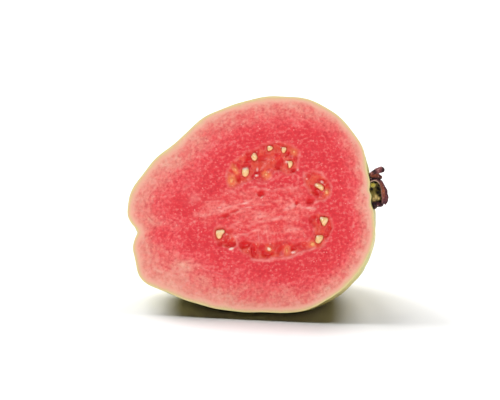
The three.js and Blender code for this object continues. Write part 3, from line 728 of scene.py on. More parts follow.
def flesh_material():
    m = Nodes("guava_flesh")
    pos, ringed, flow = m.place(), m.vector("ringed"), m.vector("flow")
    rim, red, inner = m.attr("rim"), m.attr("red"), m.attr("inner")
    jelly, core, pale = m.attr("jelly"), m.attr("core"), m.attr("pale")
    hollow, amber, groove_shade = m.attr("hollow"), m.attr("amber"), m.attr("groove_shade")

    # Cells about a millimetre across, drawn out round the fruit and along its core.
    drawn = m.blend(inner, m.noise(ringed, 0.92, 2.0, 0.6), m.noise(flow, 0.95, 2.0, 0.6))
    grain = m.blend(0.58, drawn, m.noise(pos, 0.98, 2.0, 0.55))
    drift = m.blend(inner, m.noise(ringed, 0.26, 2.0, 0.5), m.noise(flow, 0.30, 2.0, 0.5, 0.5))
    large = m.noise(pos, 0.11, 2.0, 0.5, 0.6)
    mid = m.noise(m.place(location=(7, 2, 9)), 0.40, 2.0, 0.6, 0.4)
    # How red: distance from the rim, blotched.
    t = m.math("MULTIPLY_ADD", m.math("SUBTRACT", drift, 0.5), 0.55, red)
    t = m.math("MULTIPLY_ADD", m.math("SUBTRACT", large, 0.5), 0.65, t)
    t = m.math("MULTIPLY_ADD", m.math("SUBTRACT", mid, 0.5), 0.60, t)
    keep = m.span(red, 0.02, 0.35)
    t = m.blend(keep, red, t)
    t = m.math("MULTIPLY", t, 0.7, clamp=True)   # ramp position 0.7 is the deep red
    col = m.ramp(t, [
        (0.00, lin(240, 180, 157)), (0.10, lin(240, 167, 147)), (0.15, lin(239, 154, 137)), (0.23, lin(239, 139, 126)),
        (0.34, lin(239, 119, 111)), (0.45, lin(239, 101, 98)), (0.56, lin(239, 84, 88)), (0.70, lin(235, 65, 72)), (0.90, lin(230, 52, 62)),
    ])
    # Core: pinker and mottled.
    core_col = m.ramp(drift, [
        (0.28, lin(230, 50, 58)), (0.42, lin(238, 84, 84)), (0.58, lin(245, 124, 116)), (0.72, lin(251, 164, 154)),
    ])
    core_col = m.mix(m.span(mid, 0.42, 0.66, 0.0, 0.5), core_col, lin(236, 72, 72))
    col = m.mix(m.math("MULTIPLY", core, 0.85), col, core_col)
    # Jelly round the seeds: clear red tinged with orange.
    warm = m.noise(pos, 0.42, 2.0, 0.5, 0.6)
    jelly_col = m.ramp(warm, [(0.34, lin(208, 24, 30)), (0.48, lin(221, 40, 38)), (0.60, lin(232, 66, 50)), (0.72, lin(240, 108, 80))])
    sac = m.cells(m.place(location=(3, 8, 14)), 0.42, "F1", "Color", 1.0)
    sep = m.tree.nodes.new("ShaderNodeSeparateColor")
    m.put(sep.inputs[0], sac)
    jelly_col = m.mix(m.math("MULTIPLY", m.span(sep.outputs[0], 0.45, 0.75), 0.5), jelly_col, lin(203, 14, 22))
    jelly_col = m.mix(m.math("MULTIPLY", m.span(sep.outputs[1], 0.60, 0.85), 0.45), jelly_col, lin(236, 104, 72))
    membrane = m.span(m.cells(m.place(location=(3, 8, 14)), 0.42, "DISTANCE_TO_EDGE", "Distance", 1.0), 0.11, 0.02)
    jelly_col = m.mix(m.math("MULTIPLY", membrane, 0.16), jelly_col, lin(243, 138, 122))
    col = m.mix(m.math("MULTIPLY", jelly, 0.86), col, jelly_col)
    # Single cells, darker red and paler pink than the flesh between them.
    lift = m.math("SUBTRACT", grain, 0.512)
    away = m.math("MULTIPLY", m.span(rim, 0.5, 2.2), m.math("SUBTRACT", 1.0, m.math("MULTIPLY", jelly, 0.70)))
    deep = m.math("MULTIPLY", m.math("MULTIPLY", lift, -GRAIN, clamp=True), away)
    high = m.math("MULTIPLY", m.math("MULTIPLY", lift, GRAIN, clamp=True), away)
    col = m.mix(m.math("MULTIPLY", deep, m.span(red, 0.12, 0.60, 0.44, 0.76)), col, m.mix(m.span(red, 0.12, 0.60), lin(220, 62, 72), lin(206, 36, 50)))
    col = m.mix(m.math("MULTIPLY", high, m.span(red, 0.12, 0.60, 0.58, 0.44)), col, lin(254, 180, 170))
    shade = m.noise(m.place(location=(17, 4, 40)), 1.0, 2.0, 0.6)
    col = m.mix(m.span(shade, 0.30, 0.68, 0.0, 1.0, False), col, m.mix(1.0, col, (0.91, 0.91, 0.92, 1), "MULTIPLY"))
    # Scattered dark red cells.
    speck = m.span(m.cells(m.place(location=(13, 6, 27)), 0.46, "F1", "Distance", 1.0), 0.17, 0.07)
    speck = m.math("MULTIPLY", m.math("MULTIPLY", speck, m.span(m.noise(m.place(location=(2, 9, 4)), 0.20, 1.0), 0.42, 0.60)), away)
    col = m.mix(m.math("MULTIPLY", speck, m.span(red, 0.15, 0.55, 0.22, 0.58)), col, lin(196, 28, 44))
    col = m.mix(m.math("MULTIPLY", pale, 0.75), col, lin(252, 178, 168))
    # Deep red in the hollows: red juice, with painted shade where they are deeper.
    col = m.mix(m.math("MULTIPLY", hollow, 0.96, clamp=True), col, lin(209, 8, 18))
    col = m.mix(m.math("MULTIPLY", m.math("MULTIPLY", amber, m.span(warm, 0.32, 0.62, 0.70, 1.15)), 0.66), col, lin(242, 136, 82))
    # Darker red in the groove round each clear seed: red juice with painted shade.
    col = m.mix(m.math("MULTIPLY", groove_shade, 0.60), col, lin(204, 44, 40))
    # Painted highlights: small near-white sparkles on the wet cells.
    light = m.cells(m.place(location=(31, 17, 5)), 0.80, "F1", "Distance", 1.0)
    painted_sparkle = m.math("MULTIPLY", m.span(light, 0.24, 0.10), m.span(m.noise(pos, 0.55, 1.0, 0.5, 0.2), 0.55, 0.64))
    painted_sparkle = m.math("MULTIPLY", painted_sparkle, m.span(red, 0.25, 0.6))
    col = m.mix(m.math("MULTIPLY", painted_sparkle, 0.42), col, lin(255, 206, 196))
    # Cream band, and the skin seen on edge.
    edge = m.math("MULTIPLY_ADD", m.math("SUBTRACT", m.noise(pos, 0.6, 2.0), 0.5), 0.6, m.attr("band"))
    # Painted highlights: near-white glints on the wet pulp.
    col = m.mix(m.math("MULTIPLY", m.attr("painted_glint"), 0.85), col, lin(255, 232, 222))
    edge = m.math("MULTIPLY", edge, m.span(m.noise(pos, 0.16, 1.0), 0.34, 0.66, 0.85, 1.20))
    band = m.ramp(m.math("DIVIDE", edge, 3.0, clamp=True), [
        (0.00, lin(204, 196, 128)), (0.06, lin(220, 206, 144)), (0.13, lin(228, 204, 150)), (0.24, lin(226, 190, 146)),
        (0.38, lin(232, 182, 150)), (0.60, lin(238, 174, 153)), (0.85, lin(240, 164, 147)),
    ])
    col = m.mix(m.span(edge, 3.0, 1.5), col, band)

    rough = m.math("SUBTRACT", 0.52, m.math("MULTIPLY", jelly, 0.26))
    rough = m.math("MULTIPLY_ADD", grain, 0.12, rough)
    relief = m.math("MULTIPLY_ADD", m.noise(pos, 3.0, 2.0, 0.6), 0.4, m.math("MULTIPLY", grain, 1.4))
    n = m.bump(relief, 0.6, 0.0003)
    return m.set(color=col, rough=rough, normal=n, coat=0.14, coat_rough=0.14, coat_normal=n, spec=0.4,
                 sss=0.15, sss_radius=(1.0, 0.35, 0.25), sss_scale=0.0012, ior=1.38)


def skin_material():
    m = Nodes("guava_skin")
    pos = m.place()
    lump, crease, scar = m.attr("lump"), m.attr("crease"), m.attr("scar")
    pit, crown, pressed_shade, from_rim = m.attr("pit"), m.attr("crown"), m.attr("pressed_shade"), m.attr("from_rim")
    patch = m.noise(pos, 0.07, 3.0, 0.55, 0.8)
    mottle = m.noise(pos, 0.30, 4.0, 0.6, 0.6)
    fine = m.noise(pos, 1.6, 2.0, 0.6)
    tone = m.math("MULTIPLY_ADD", m.math("SUBTRACT", mottle, 0.5), 0.55, patch)
    tone = m.math("MULTIPLY_ADD", m.math("SUBTRACT", lump, 0.5), 0.35, tone)
    tone = m.math("MULTIPLY_ADD", crease, -0.13, tone)
    col = m.ramp(tone, [
        (0.24, lin(162, 166, 80)), (0.38, lin(186, 185, 98)), (0.52, lin(205, 198, 115)),
        (0.66, lin(216, 204, 128)), (0.82, lin(226, 213, 150)),
    ])
    # Riper, yellower cheeks.
    ripe = m.span(m.noise(m.place(location=(40, 11, 3)), 0.024, 2.0, 0.5, 0.3), 0.44, 0.62)
    col = m.mix(m.math("MULTIPLY", ripe, 0.55), col, lin(222, 196, 122))
    # Pale dots all over, and a few brown flecks.
    dots = m.cells(pos, 0.95, "F1", "Distance", 1.0)
    col = m.mix(m.math("MULTIPLY", m.span(dots, 0.20, 0.06), 0.35), col, lin(236, 230, 186))
    fleck = m.math("MULTIPLY", m.span(m.cells(m.place(location=(9, 3, 21)), 0.33), 0.13, 0.05), m.span(patch, 0.45, 0.6))
    col = m.mix(m.math("MULTIPLY", fleck, 0.6), col, lin(120, 88, 50))
    col = m.mix(m.math("MULTIPLY", m.span(fine, 0.45, 0.75), 0.18), col, lin(176, 174, 96))
    # Painted shade: darker olive on the lower part and darker still on the spot pressed on the floor; russet round the
    # two ends.
    col = m.mix(m.math("MULTIPLY", m.attr("low"), 0.55), col, lin(146, 134, 70))
    col = m.mix(m.math("MULTIPLY", pressed_shade, 0.6), col, lin(128, 108, 56))
    russet = m.math("MULTIPLY", m.math("MAXIMUM", pit, crown), m.span(mottle, 0.35, 0.65))
    col = m.mix(m.math("MULTIPLY", russet, 0.65), col, lin(150, 116, 62))
    col = m.mix(scar, col, lin(84, 56, 34))
    rough = m.math("MULTIPLY_ADD", mottle, 0.18, 0.30)
    rough = m.math("MULTIPLY_ADD", scar, 0.4, rough)
    h = m.math("MULTIPLY_ADD", m.noise(pos, 0.55, 3.0, 0.55, 0.4), 1.6, m.math("MULTIPLY", fine, 0.5))
    h = m.math("SUBTRACT", h, m.math("MULTIPLY", m.span(dots, 0.25, 0.05), 0.25))
    n = m.bump(h, 0.6, 0.0005)
    return m.set(color=col, rough=rough, normal=n, coat=0.16, coat_rough=0.22, sss=0.10,
                 sss_radius=(1.0, 0.8, 0.3), sss_scale=0.0015, ior=1.42)


def seed_material(name, pulp):
    m = Nodes(name)
    pos = m.place()
    tone = m.noise(pos, 0.9, 3.0, 0.6, 0.3)
    grain = m.noise(pos, 3.0, 2.0, 0.6)
    hilum = m.attr("hilum")
    if pulp > 0.3:
        stops = [(0.3, lin(232, 112, 62)), (0.5, lin(241, 150, 88)), (0.7, lin(248, 194, 126))]
        cover = lin(230, 84, 58)
    else:
        stops = [(0.28, lin(222, 160, 98)), (0.43, lin(240, 200, 138)), (0.60, lin(247, 218, 166)), (0.78, lin(252, 236, 204))]
        cover = lin(214, 84, 56)
    col = m.ramp(m.math("MULTIPLY_ADD", m.math("SUBTRACT", grain, 0.5), 0.35, tone), stops)
    col = m.mix(m.math("MULTIPLY", hilum, 0.35), col, lin(206, 126, 72))
    # Painted shade: warmer on the side away from the light; painted highlights where the juice would catch it.
    col = m.mix(m.math("MULTIPLY", m.attr("shade"), 0.50), col, lin(242, 172, 108))
    # Where the grain goes down into the pulp, a red film covers it.
    film = m.math("MULTIPLY_ADD", m.math("SUBTRACT", tone, 0.5), 0.8, m.attr("under"))
    col = m.mix(m.span(film, 0.1, 0.9, 0.0, 0.95), col, cover)
    # Painted highlights on the grain.
    col = m.mix(m.math("MULTIPLY", m.attr("painted_spark"), 0.95), col, lin(255, 236, 226))
    n = m.bump(m.noise(pos, 2.2, 3.0, 0.6), 0.4, 0.00012)
    return m.set(color=col, rough=0.30, normal=n, coat=0.5, coat_rough=0.10, sss=0.15,
                 sss_radius=(1.0, 0.6, 0.3), sss_scale=0.0010, ior=1.45)


def dry_material(name, stops, warm=(158, 84, 46), dusk=(18, 6, 12), cut=(190, 156, 130), rough=0.78):
    m = Nodes(name)
    pos = m.place()
    tone = m.noise(pos, 0.75, 4.0, 0.65, 0.5)
    col = m.ramp(tone, stops)
    streak = m.noise(m.place(scale=(420, 2400, 2400)), 1.0, 2.0, 0.6)
    col = m.mix(m.math("MULTIPLY", m.span(streak, 0.52, 0.74), 0.45), col, stops[-1][1])
    patch = m.noise(m.place(location=(5, 9, 2)), 0.9, 2.0, 0.6)
    rust = m.math("MULTIPLY", m.attr("warm"), m.span(patch, 0.30, 0.60, 0.35, 1.15), clamp=True)
    col = m.mix(rust, col, lin(*warm))
    # Darkening where the dark attribute says: painted shade under a lobe, at its root and in the ring by the cut; the
    # dried calyx's own black elsewhere.
    black = m.math("MULTIPLY", m.attr("dark"), m.span(patch, 0.70, 0.35, 0.6, 1.1), clamp=True)
    col = m.mix(m.math("MULTIPLY", black, 0.92), col, lin(*dusk))
    # Blackened and bleached flecks.
    fleck = m.math("MULTIPLY", m.span(m.cells(m.place(location=(4, 1, 8)), 1.15), 0.42, 0.20), m.span(streak, 0.34, 0.50))
    col = m.mix(m.math("MULTIPLY", fleck, 0.75), col, lin(*dusk))
    pallid = m.math("MULTIPLY", m.span(m.cells(m.place(location=(8, 5, 2)), 1.05), 0.34, 0.14), m.span(tone, 0.44, 0.56))
    col = m.mix(m.math("MULTIPLY", pallid, 0.55), col, lin(206, 160, 150))
    col = m.mix(m.math("MULTIPLY", m.attr("cut"), 0.9), col, lin(*cut))
    h = m.math("MULTIPLY_ADD", streak, 0.8, m.noise(pos, 1.6, 4.0, 0.65))
    n = m.bump(h, 0.8, 0.00035)
    r = m.math("MULTIPLY_ADD", tone, 0.2, rough - 0.1)
    return m.set(color=col, rough=r, normal=n, ior=1.4, spec=0.35)


def inside_material():
    """Olive, lumpy inside of the calyx with a yellow knob, pale strips, and painted shade that blackens its hollows."""
    m = Nodes("calyx_olive")
    pos = m.place()
    tone = m.noise(pos, 0.85, 4.0, 0.65, 0.5)
    col = m.ramp(tone, [(0.28, lin(36, 28, 12)), (0.43, lin(76, 64, 26)), (0.58, lin(112, 98, 40)), (0.80, lin(160, 144, 80))])
    knob = m.ramp(m.attr("knob"), [(0.0, lin(110, 96, 36)), (0.35, lin(178, 168, 104)), (0.6, lin(168, 152, 58)), (1.0, lin(176, 160, 60))])
    col = m.mix(m.span(m.attr("knob"), 0.08, 0.35), col, knob)
    col = m.mix(m.math("MULTIPLY", m.attr("strip"), m.span(tone, 0.30, 0.55, 0.4, 1.0), clamp=True), col, lin(198, 170, 106))
    # Painted shade: the pits and the dents of the stamen scars are coloured near black.
    col = m.mix(m.math("MULTIPLY", m.attr("pit"), 1.1, clamp=True), col, lin(20, 12, 10))
    h = m.noise(pos, 1.8, 4.0, 0.65)
    n = m.bump(h, 0.7, 0.0003)
    return m.set(color=col, rough=0.62, normal=n, ior=1.4, spec=0.35)


def floor_material():
    m = Nodes("pale_floor")
    pos = m.place(scale=(1, 1, 1))
    col = m.ramp(m.noise(pos, 14.0, 2.0), [(0.3, (0.875, 0.875, 0.87, 1)), (0.7, (0.885, 0.885, 0.885, 1))])
    return m.set(color=col, rough=0.6)


# ---------------------------------------------------------------------- pieces
def build_seed(i, spec, level=4):
    x, y, depth, long, wide, thick, turn, under = spec
    depth += 0.18 if under <= 0.3 else 0.0
    bm = bmesh.new()
    bmesh.ops.create_icosphere(bm, subdivisions=level, radius=1)
    v = np.array([p.co for p in bm.verts])
    faces = [[q.index for q in f.verts] for f in bm.faces]
    bm.free()
    rs = np.random.RandomState(100 + i)
    # A few flattened facets make the hard, slightly angular grain of a seed.
    r = np.ones(len(v))
    for k in range(7):
        d = rs.normal(size=3)
        d /= np.linalg.norm(d)
        r = np.minimum(r, (0.86 + 0.1 * rs.rand()) / np.maximum(v @ d, 0.2))
    r = 0.55 * np.minimum(r, 1.0) + 0.45
    p = v * r[:, None]
    if i + 1 not in _GRAINS:
        p[:, 0] *= 1 - 0.20 * v[:, 1] - 0.05 * v[:, 1] ** 2
        p[:, 0] += 0.10 * (v[:, 1] ** 2 - 0.4)
    p += 0.030 * np.stack([noise(v, 0.8, 60 + i), noise(v, 0.8, 90 + i), noise(v, 0.8, 120 + i)], -1)
    hil = np.exp(-(((v[:, 1] - 0.93) / 0.22) ** 2 + (v[:, 0] / 0.35) ** 2))
    p -= v * (0.10 * hil)[:, None]
    p *= 0.97
    a = math.radians(turn)
    px, py, pz = p[:, 0] * wide, p[:, 1] * long, p[:, 2] * thick
    u = x + px * math.cos(a) - py * math.sin(a)
    w = y + px * math.sin(a) + py * math.cos(a)
    if i + 1 in _GRAINS:
        c, far = _GRAINS[i + 1]
        far = 1.03 * np.interp(np.arctan2(v[:, 1], v[:, 0]), _ANGLES, far)
        u, w = c[0] + far * p[:, 0], c[1] + far * p[:, 1]
    pts = SHIFT + u[:, None] * ACROSS + w[:, None] * UPF + (depth + pz)[:, None] * INTO
    faces = [f[::-1] for f in faces]
    ob = mesh_object(f"seed_{i + 1:02d}_grain", pts / 1000, faces)
    set_attribute(ob, "hilum", hil)
    # Painted shade towards the lower right, and painted highlights where the glints fall on the grain.
    set_attribute(ob, "shade", step(-0.5, 0.9, 0.5 * v[:, 0] - 0.86 * v[:, 1]))
    set_attribute(ob, "painted_spark", painted_glint_mask(u, w) * step(0.1, -0.3, v[:, 2]))
    # Sides sink into the pulp.
    if under > 0.3:
        set_attribute(ob, "under", step(-0.12, 0.56, depth + pz + (0.12 if under > 0.7 else -0.08) + 0.07 * noise(pts, 0.8, 77)))
    else:
        set_attribute(ob, "under", step(-0.35, 0.35, depth + pz + 0.08 * noise(pts, 0.8, 78)) * 0.9)
    ob.data.materials.append(SEED_AMBER if under > 0.3 else SEED_PALE)
    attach(ob, "root")
    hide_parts(f"seed_{i + 1:02d}")
    return ob


def cut_by_knife(ob, at=-CUT):
    """Removes what lies in front of the cut, or of a plane behind it, and closes the opening."""
    bm = bmesh.new()
    bm.from_mesh(ob.data)
    geom = bm.verts[:] + bm.edges[:] + bm.faces[:]
    res = bmesh.ops.bisect_plane(bm, geom=geom, dist=1e-7, plane_co=Vector((CENTRE + INTO * at) / 1000), plane_no=Vector(-INTO), clear_outer=True)
    edges = [e for e in res["geom_cut"] if isinstance(e, bmesh.types.BMEdge)]
    made = []
    if edges:
        made = bmesh.ops.holes_fill(bm, edges=[e for e in edges if e.is_boundary], sides=0)["faces"]
        made = bmesh.ops.triangulate(bm, faces=made)["faces"]
    for f in made:
        f.smooth = False
    bm.normal_update()
    bm.to_mesh(ob.data)
    bm.free()
    return ob


def spline(points, ts):
    """Smooth curve through the points, at parameters from 0 to 1."""
    p = np.array(points, float)
    n = len(p)
    ext = np.vstack([2 * p[0] - p[1], p, 2 * p[-1] - p[-2]])
    x = np.clip(np.asarray(ts) * (n - 1), 0, n - 1 - 1e-9)
    i = x.astype(int)
    f = (x - i)[:, None]
    p0, p1, p2, p3 = ext[i], ext[i + 1], ext[i + 2], ext[i + 3]
    return 0.5 * (2 * p1 + (p2 - p0) * f + (2 * p0 - 5 * p1 + 4 * p2 - p3) * f ** 2 + (3 * p1 - p0 - 3 * p2 + p3) * f ** 3)


def build_lobe(name, spec, seed, steps=64, around=44):
    f = np.linspace(0, 1, steps + 1)
    c = spline(spec["path"], f)
    d = np.gradient(c, axis=0)
    d /= np.linalg.norm(d, axis=1)[:, None]
    side = np.array(spec["side"], float)
    knots = np.linspace(0, 1, len(spec["half"]))
    half, thick = np.interp(f, knots, spec["half"]), np.interp(f, knots, spec["thick"])
    s = side - d * (d @ side)[:, None]
    s /= np.linalg.norm(s, axis=1)[:, None]
    up = np.cross(d, s)
    close = np.sqrt(np.clip(1 - (np.clip(f - 0.80, 0, None) / 0.20) ** 2, 0, 1))
    close = np.maximum(close, 0.10)
    a = 2 * np.pi * np.arange(around) / around
    ca, sa = np.cos(a)[None], np.sin(a)[None]
    # Edges curl, and a shallow channel runs down the middle of one side.
    curl = 0.16 * np.abs(ca) ** 3 * thick[:, None]
    channel = -spec.get("channel", 0.3) * thick[:, None] * np.exp(-(ca / 0.45) ** 2) * np.where(sa > 0, 1.0, 0.3)
    off_s = ca * (half * close)[:, None]
    off_u = (sa * thick[:, None] + channel * sa) * (0.20 + 0.80 * close)[:, None] + curl * close[:, None]
    rel = np.repeat(c, around, axis=0)
    out = (s[:, None] * off_s[..., None] + up[:, None] * off_u[..., None]).reshape(-1, 3)
    pts = rel + out
    ln = np.linalg.norm(out, axis=1)[:, None] + 1e-9
    # Wrinkles of a lobe that dried: fine along it, coarse across.
    amp = noise(pts * np.array([0.45, 1, 1]), 0.75, seed) * 0.13 + noise(pts, 1.7, seed + 1) * 0.20 + noise(pts, 0.38, seed + 2) * 0.04
    pts = pts + out / ln * (amp * np.clip(ln[:, 0] / 0.6, 0.1, 1))[:, None]
    ff, ss = np.repeat(f, around), np.tile(np.sin(a), steps + 1)
    dark = np.clip(spec["dark"](ff, ss), 0, 1)
    warm = np.clip(spec["warm"](ff, ss), 0, 1)
    pts = np.vstack([pts, pts[:around].mean(0), pts[-around:].mean(0)])
    pts = CENTRE + pts @ np.stack([ALONG, OVER, INTO])
    faces = []
    for j in range(steps):
        for i in range(around):
            p, q = j * around + i, j * around + (i + 1) % around
            faces.append((p, p + around, q + around, q))
    first = (steps + 1) * around
    for i in range(around):
        faces.append((first, i, (i + 1) % around))
        faces.append((first + 1, steps * around + (i + 1) % around, steps * around + i))
    ob = mesh_object(name, pts / 1000, faces)
    set_attribute(ob, "dark", np.r_[dark, dark[0], dark[-1]])
    set_attribute(ob, "warm", np.r_[warm, warm[0], warm[-1]])
    return cut_by_knife(ob)


def build_wrap(name, seed, along=110, across=34):
    """The front sepal: a wrinkled sheet that curls round the opening, sliced along its near edge."""
    t, w = np.linspace(0, 1, along + 1), np.linspace(0, 1, across + 1)
    e, o = spline(FRONT_EDGE, t), spline(FRONT_BACK, t)
    g = np.sin(w * np.pi / 2) ** 0.8
    mid = np.empty((along + 1, across + 1, 3))
    mid[..., :2] = e[:, None] + (o - e)[:, None] * g[None, :, None]
    mid[..., 2] = -3.9 + 5.4 * w
    # The far border is frayed.
    mid[..., 2] += (w ** 3)[None] * 0.7 * noise(np.stack([t * 9, t * 0, t * 0], -1), 1.0, seed + 5)[:, None]
    nrm = np.cross(np.gradient(mid, axis=0), np.gradient(mid, axis=1))
    nrm /= np.linalg.norm(nrm, axis=2)[..., None] + 1e-12
    centre = np.array([42.6, -1.2, 0.0])
    if ((mid - centre)[..., :2] * nrm[..., :2]).sum() < 0:
        nrm = -nrm
    wr = 0.34 * noise(mid * np.array([0.7, 0.7, 0.9]), 1.5, seed) + 0.20 * noise(mid, 0.7, seed + 1) + 0.07 * noise(mid, 0.35, seed + 2)
    wr *= (0.2 + 0.8 * step(0, 0.2, w))[None]
    ends = np.clip(np.minimum(t / 0.05, (1 - t) / 0.06), 0.15, 1)[:, None]
    half = 0.5 * (0.30 + 0.36 * w)[None] * ends
    rows = []
    for sign in (1, -1):
        p = mid + nrm * (wr + sign * half)[..., None]
        p[:, 0, 2] = -3.93
        rows.append(p.reshape(-1, 3))
    pts = np.concatenate(rows)
    n = (along + 1) * (across + 1)
    idx = np.arange(n).reshape(along + 1, across + 1)
    a, b, c, d = idx[:-1, :-1].ravel(), idx[1:, :-1].ravel(), idx[1:, 1:].ravel(), idx[:-1, 1:].ravel()
    faces = [tuple(q) for q in np.stack([a, b, c, d], -1)] + [tuple(q) for q in np.stack([d, c, b, a], -1) + n]
    loop = list(idx[:, 0]) + list(idx[-1, 1:]) + list(idx[-2::-1, -1]) + list(idx[0, -2:0:-1])
    for p, q in zip(loop, loop[1:] + loop[:1]):
        faces.append((q, p, p + n, q + n))
    pts = CENTRE + pts @ np.stack([ALONG, OVER, INTO])
    ob = mesh_object(name, pts / 1000, faces)
    tt, ww = np.repeat(t, across + 1), np.tile(w, along + 1)
    arch = step(0.50, 0.36, tt)
    warm = (1 - arch) * np.exp(-((ww - 0.12) / 0.15) ** 2) * np.clip(0.85 - 0.9 * step(0.62, 0.95, tt), 0, 1)
    dark = np.maximum(arch * step(0.02, 0.16, ww), (1 - arch) * 0.9 * step(0.55, 1.0, ww))
    cut = (ww == 0) * (0.25 + 0.75 * arch)
    set_attribute(ob, "warm", np.r_[warm, 0.5 * warm])
    set_attribute(ob, "dark", np.r_[dark, np.maximum(0.6 * (ww > 0), dark)])
    set_attribute(ob, "cut", np.r_[cut, cut])
    bm = bmesh.new()
    bm.from_mesh(ob.data)
    bmesh.ops.recalc_face_normals(bm, faces=bm.faces[:])
    bm.to_mesh(ob.data)
    bm.free()
    return ob


def turned(profile, around, per, closed):
    """Points of a ring or dome about the calyx's axis: over, into, along, and rows of faces."""
    prof = np.array(profile, float)
    if closed:
        prof = np.vstack([prof, prof[:1]])
    dense = np.concatenate([a + (b - a) * (np.arange(per) / per)[:, None] for a, b in zip(prof[:-1], prof[1:])])
    if not closed:
        dense = np.vstack([dense, prof[-1:]])
    for _ in range(2):
        if closed:
            dense = 0.25 * np.roll(dense, 1, 0) + 0.5 * dense + 0.25 * np.roll(dense, -1, 0)
        else:
            dense[1:-1] = 0.25 * dense[:-2] + 0.5 * dense[1:-1] + 0.25 * dense[2:]
    m = len(dense)
    a = 2 * np.pi * np.arange(around) / around
    r, s = dense[None, :, 0], dense[None, :, 1]
    pts = np.stack([s + 0 * a[:, None], r * np.cos(a)[:, None], r * np.sin(a)[:, None]], -1).reshape(-1, 3)
    faces = []
    for i in range(around):
        for k in range(m if closed else m - 1):
            p, q = i * m + k, i * m + (k + 1) % m
            u, v = ((i + 1) % around) * m + k, ((i + 1) % around) * m + (k + 1) % m
            faces.append((p, q, v, u))
    return pts, faces


def close_mesh(ob):
    bm = bmesh.new()
    bm.from_mesh(ob.data)
    bmesh.ops.remove_doubles(bm, verts=bm.verts[:], dist=2e-6)
    bmesh.ops.recalc_face_normals(bm, faces=bm.faces[:])
    bm.to_mesh(ob.data)
    bm.free()
    return ob


def build_ring(name, seed):
    """The dried rim of the calyx, ragged at the top."""
    pts, faces = turned(RING, 130, 7, True)
    tip = (pts[:, 0] - 40.55) / 1.5
    rad = pts[:, 1:].copy()
    ln = np.linalg.norm(rad, axis=1)[:, None] + 1e-6
    amp = noise(pts, 1.5, seed) * 0.14 + noise(pts * np.array([0.5, 1, 1]), 0.6, seed + 1) * 0.08
    pts[:, 1:] += rad / ln * amp[:, None] + np.array(CROWN_AT)
    pts[:, 0] += tip * (noise(pts, 1.3, seed + 2) * 0.28 + noise(pts, 0.5, seed + 3) * 0.12)
    ob = mesh_object(name, (CENTRE + pts @ np.stack([ALONG, OVER, INTO])) / 1000, faces)
    # Near the cut the ring is darkened: its dried colour, with painted shade for the gap between the fruit's rim and
    # the calyx.
    set_attribute(ob, "dark", 0.8 * step(-1.5, -3.0, pts[:, 2]) + 0.25)
    return cut_by_knife(close_mesh(ob), -3.2)


def build_inside(name, seed):
    """The dried inside of the calyx: a lumpy dome, broken open on the side of the cut."""
    pts, faces = turned(DISC, 200, 14, False)
    pts[:, 1] = 1.20 * pts[:, 1] - 0.60
    pts[:, 2] += CROWN_AT[1]
    face = step(-2.7, -3.0, pts[:, 2])
    grow = step(40.7, 41.6, pts[:, 0])
    lump = noise(pts, 1.5, seed) * 0.30 + noise(pts, 0.7, seed + 1) * 0.16 + noise(pts, 0.35, seed + 2) * 0.05
    pts[:, 0] += grow * lump * 0.8
    knob, pit, strip = np.zeros(len(pts)), np.zeros(len(pts)), np.zeros(len(pts))
    out = np.zeros(len(pts))
    for x, y, rad, high, kind in INSIDE:
        q = np.hypot(pts[:, 0] - x, (pts[:, 1] - y) * (1.0 if kind != "strip" else 0.7)) / rad
        m = np.exp(-q ** 2.6)
        out += high * m
        if kind == "bump":
            knob = np.maximum(knob, m)
        elif kind == "pit":
            pit = np.maximum(pit, m)
        elif kind == "strip":
            strip = np.maximum(strip, m)
    flat = -3.05 - 0.5 * lump - out
    pts[:, 2] = np.where(pts[:, 2] < -3.0, np.maximum(flat, -3.9), pts[:, 2])
    # Small round scars of the stamens on the dome.
    cell = noise(pts, 0.9, seed + 7)
    pts[:, 0] += (1 - face) * grow * 0.12 * cell
    ob = mesh_object(name, (CENTRE + pts @ np.stack([ALONG, OVER, INTO])) / 1000, faces)
    set_attribute(ob, "knob", knob * face)
    # The dents of the stamen scars get the same painted shade as the pits.
    set_attribute(ob, "pit", np.maximum(pit * face, 0.55 * step(0.25, 0.7, -cell) * (1 - face)))
    set_attribute(ob, "strip", strip * face)
    return close_mesh(ob)


SEED_PALE = seed_material("seed_pale", 0)
SEED_AMBER = seed_material("seed_amber", 1)

fruit = build_fruit(212)
fruit.data.materials[0] = flesh_material()
fruit.data.materials[1] = skin_material()
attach(fruit, "root")
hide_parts("fruit_half")

for i, spec in enumerate(SEEDS):
    build_seed(i, spec)

purple = [(0.27, lin(40, 14, 24)), (0.42, lin(86, 36, 44)), (0.56, lin(134, 76, 78)), (0.72, lin(198, 150, 140))]
brown = [(0.25, lin(44, 18, 22)), (0.42, lin(92, 42, 40)), (0.58, lin(134, 74, 58)), (0.78, lin(184, 132, 108))]
plum = [(0.27, lin(32, 10, 20)), (0.42, lin(72, 24, 36)), (0.56, lin(110, 44, 52)), (0.72, lin(166, 108, 100))]
mats = {
    "sepal_top": dry_material("sepal_purple", purple),
    "sepal_upper": dry_material("sepal_brown", brown),
    "sepal_back": dry_material("sepal_back_brown", brown),
    "sepal_lower": dry_material("sepal_dark", plum),
    "sepal_front": dry_material("sepal_plum", plum),
}
dried = {name: build_lobe(name + "_dried", spec, 200 + 7 * k) for k, (name, spec) in enumerate(SEPALS.items())}
dried["sepal_front"] = build_wrap("sepal_front_dried", 241)
for name, ob in dried.items():
    ob.data.materials.append(mats[name])
    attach(ob, "root")
    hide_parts(name)

ring = build_ring("calyx_rim_dried", 301)
ring.data.materials.append(dry_material("calyx_brown", [(0.25, lin(30, 16, 12)), (0.45, lin(62, 38, 28)), (0.62, lin(98, 64, 44)), (0.8, lin(146, 108, 76))]))
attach(ring, "root")
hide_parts("calyx_ring")

disc = build_inside("calyx_disc_dried", 331)
disc.data.materials.append(inside_material())
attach(disc, "root")
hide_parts("calyx_disc")

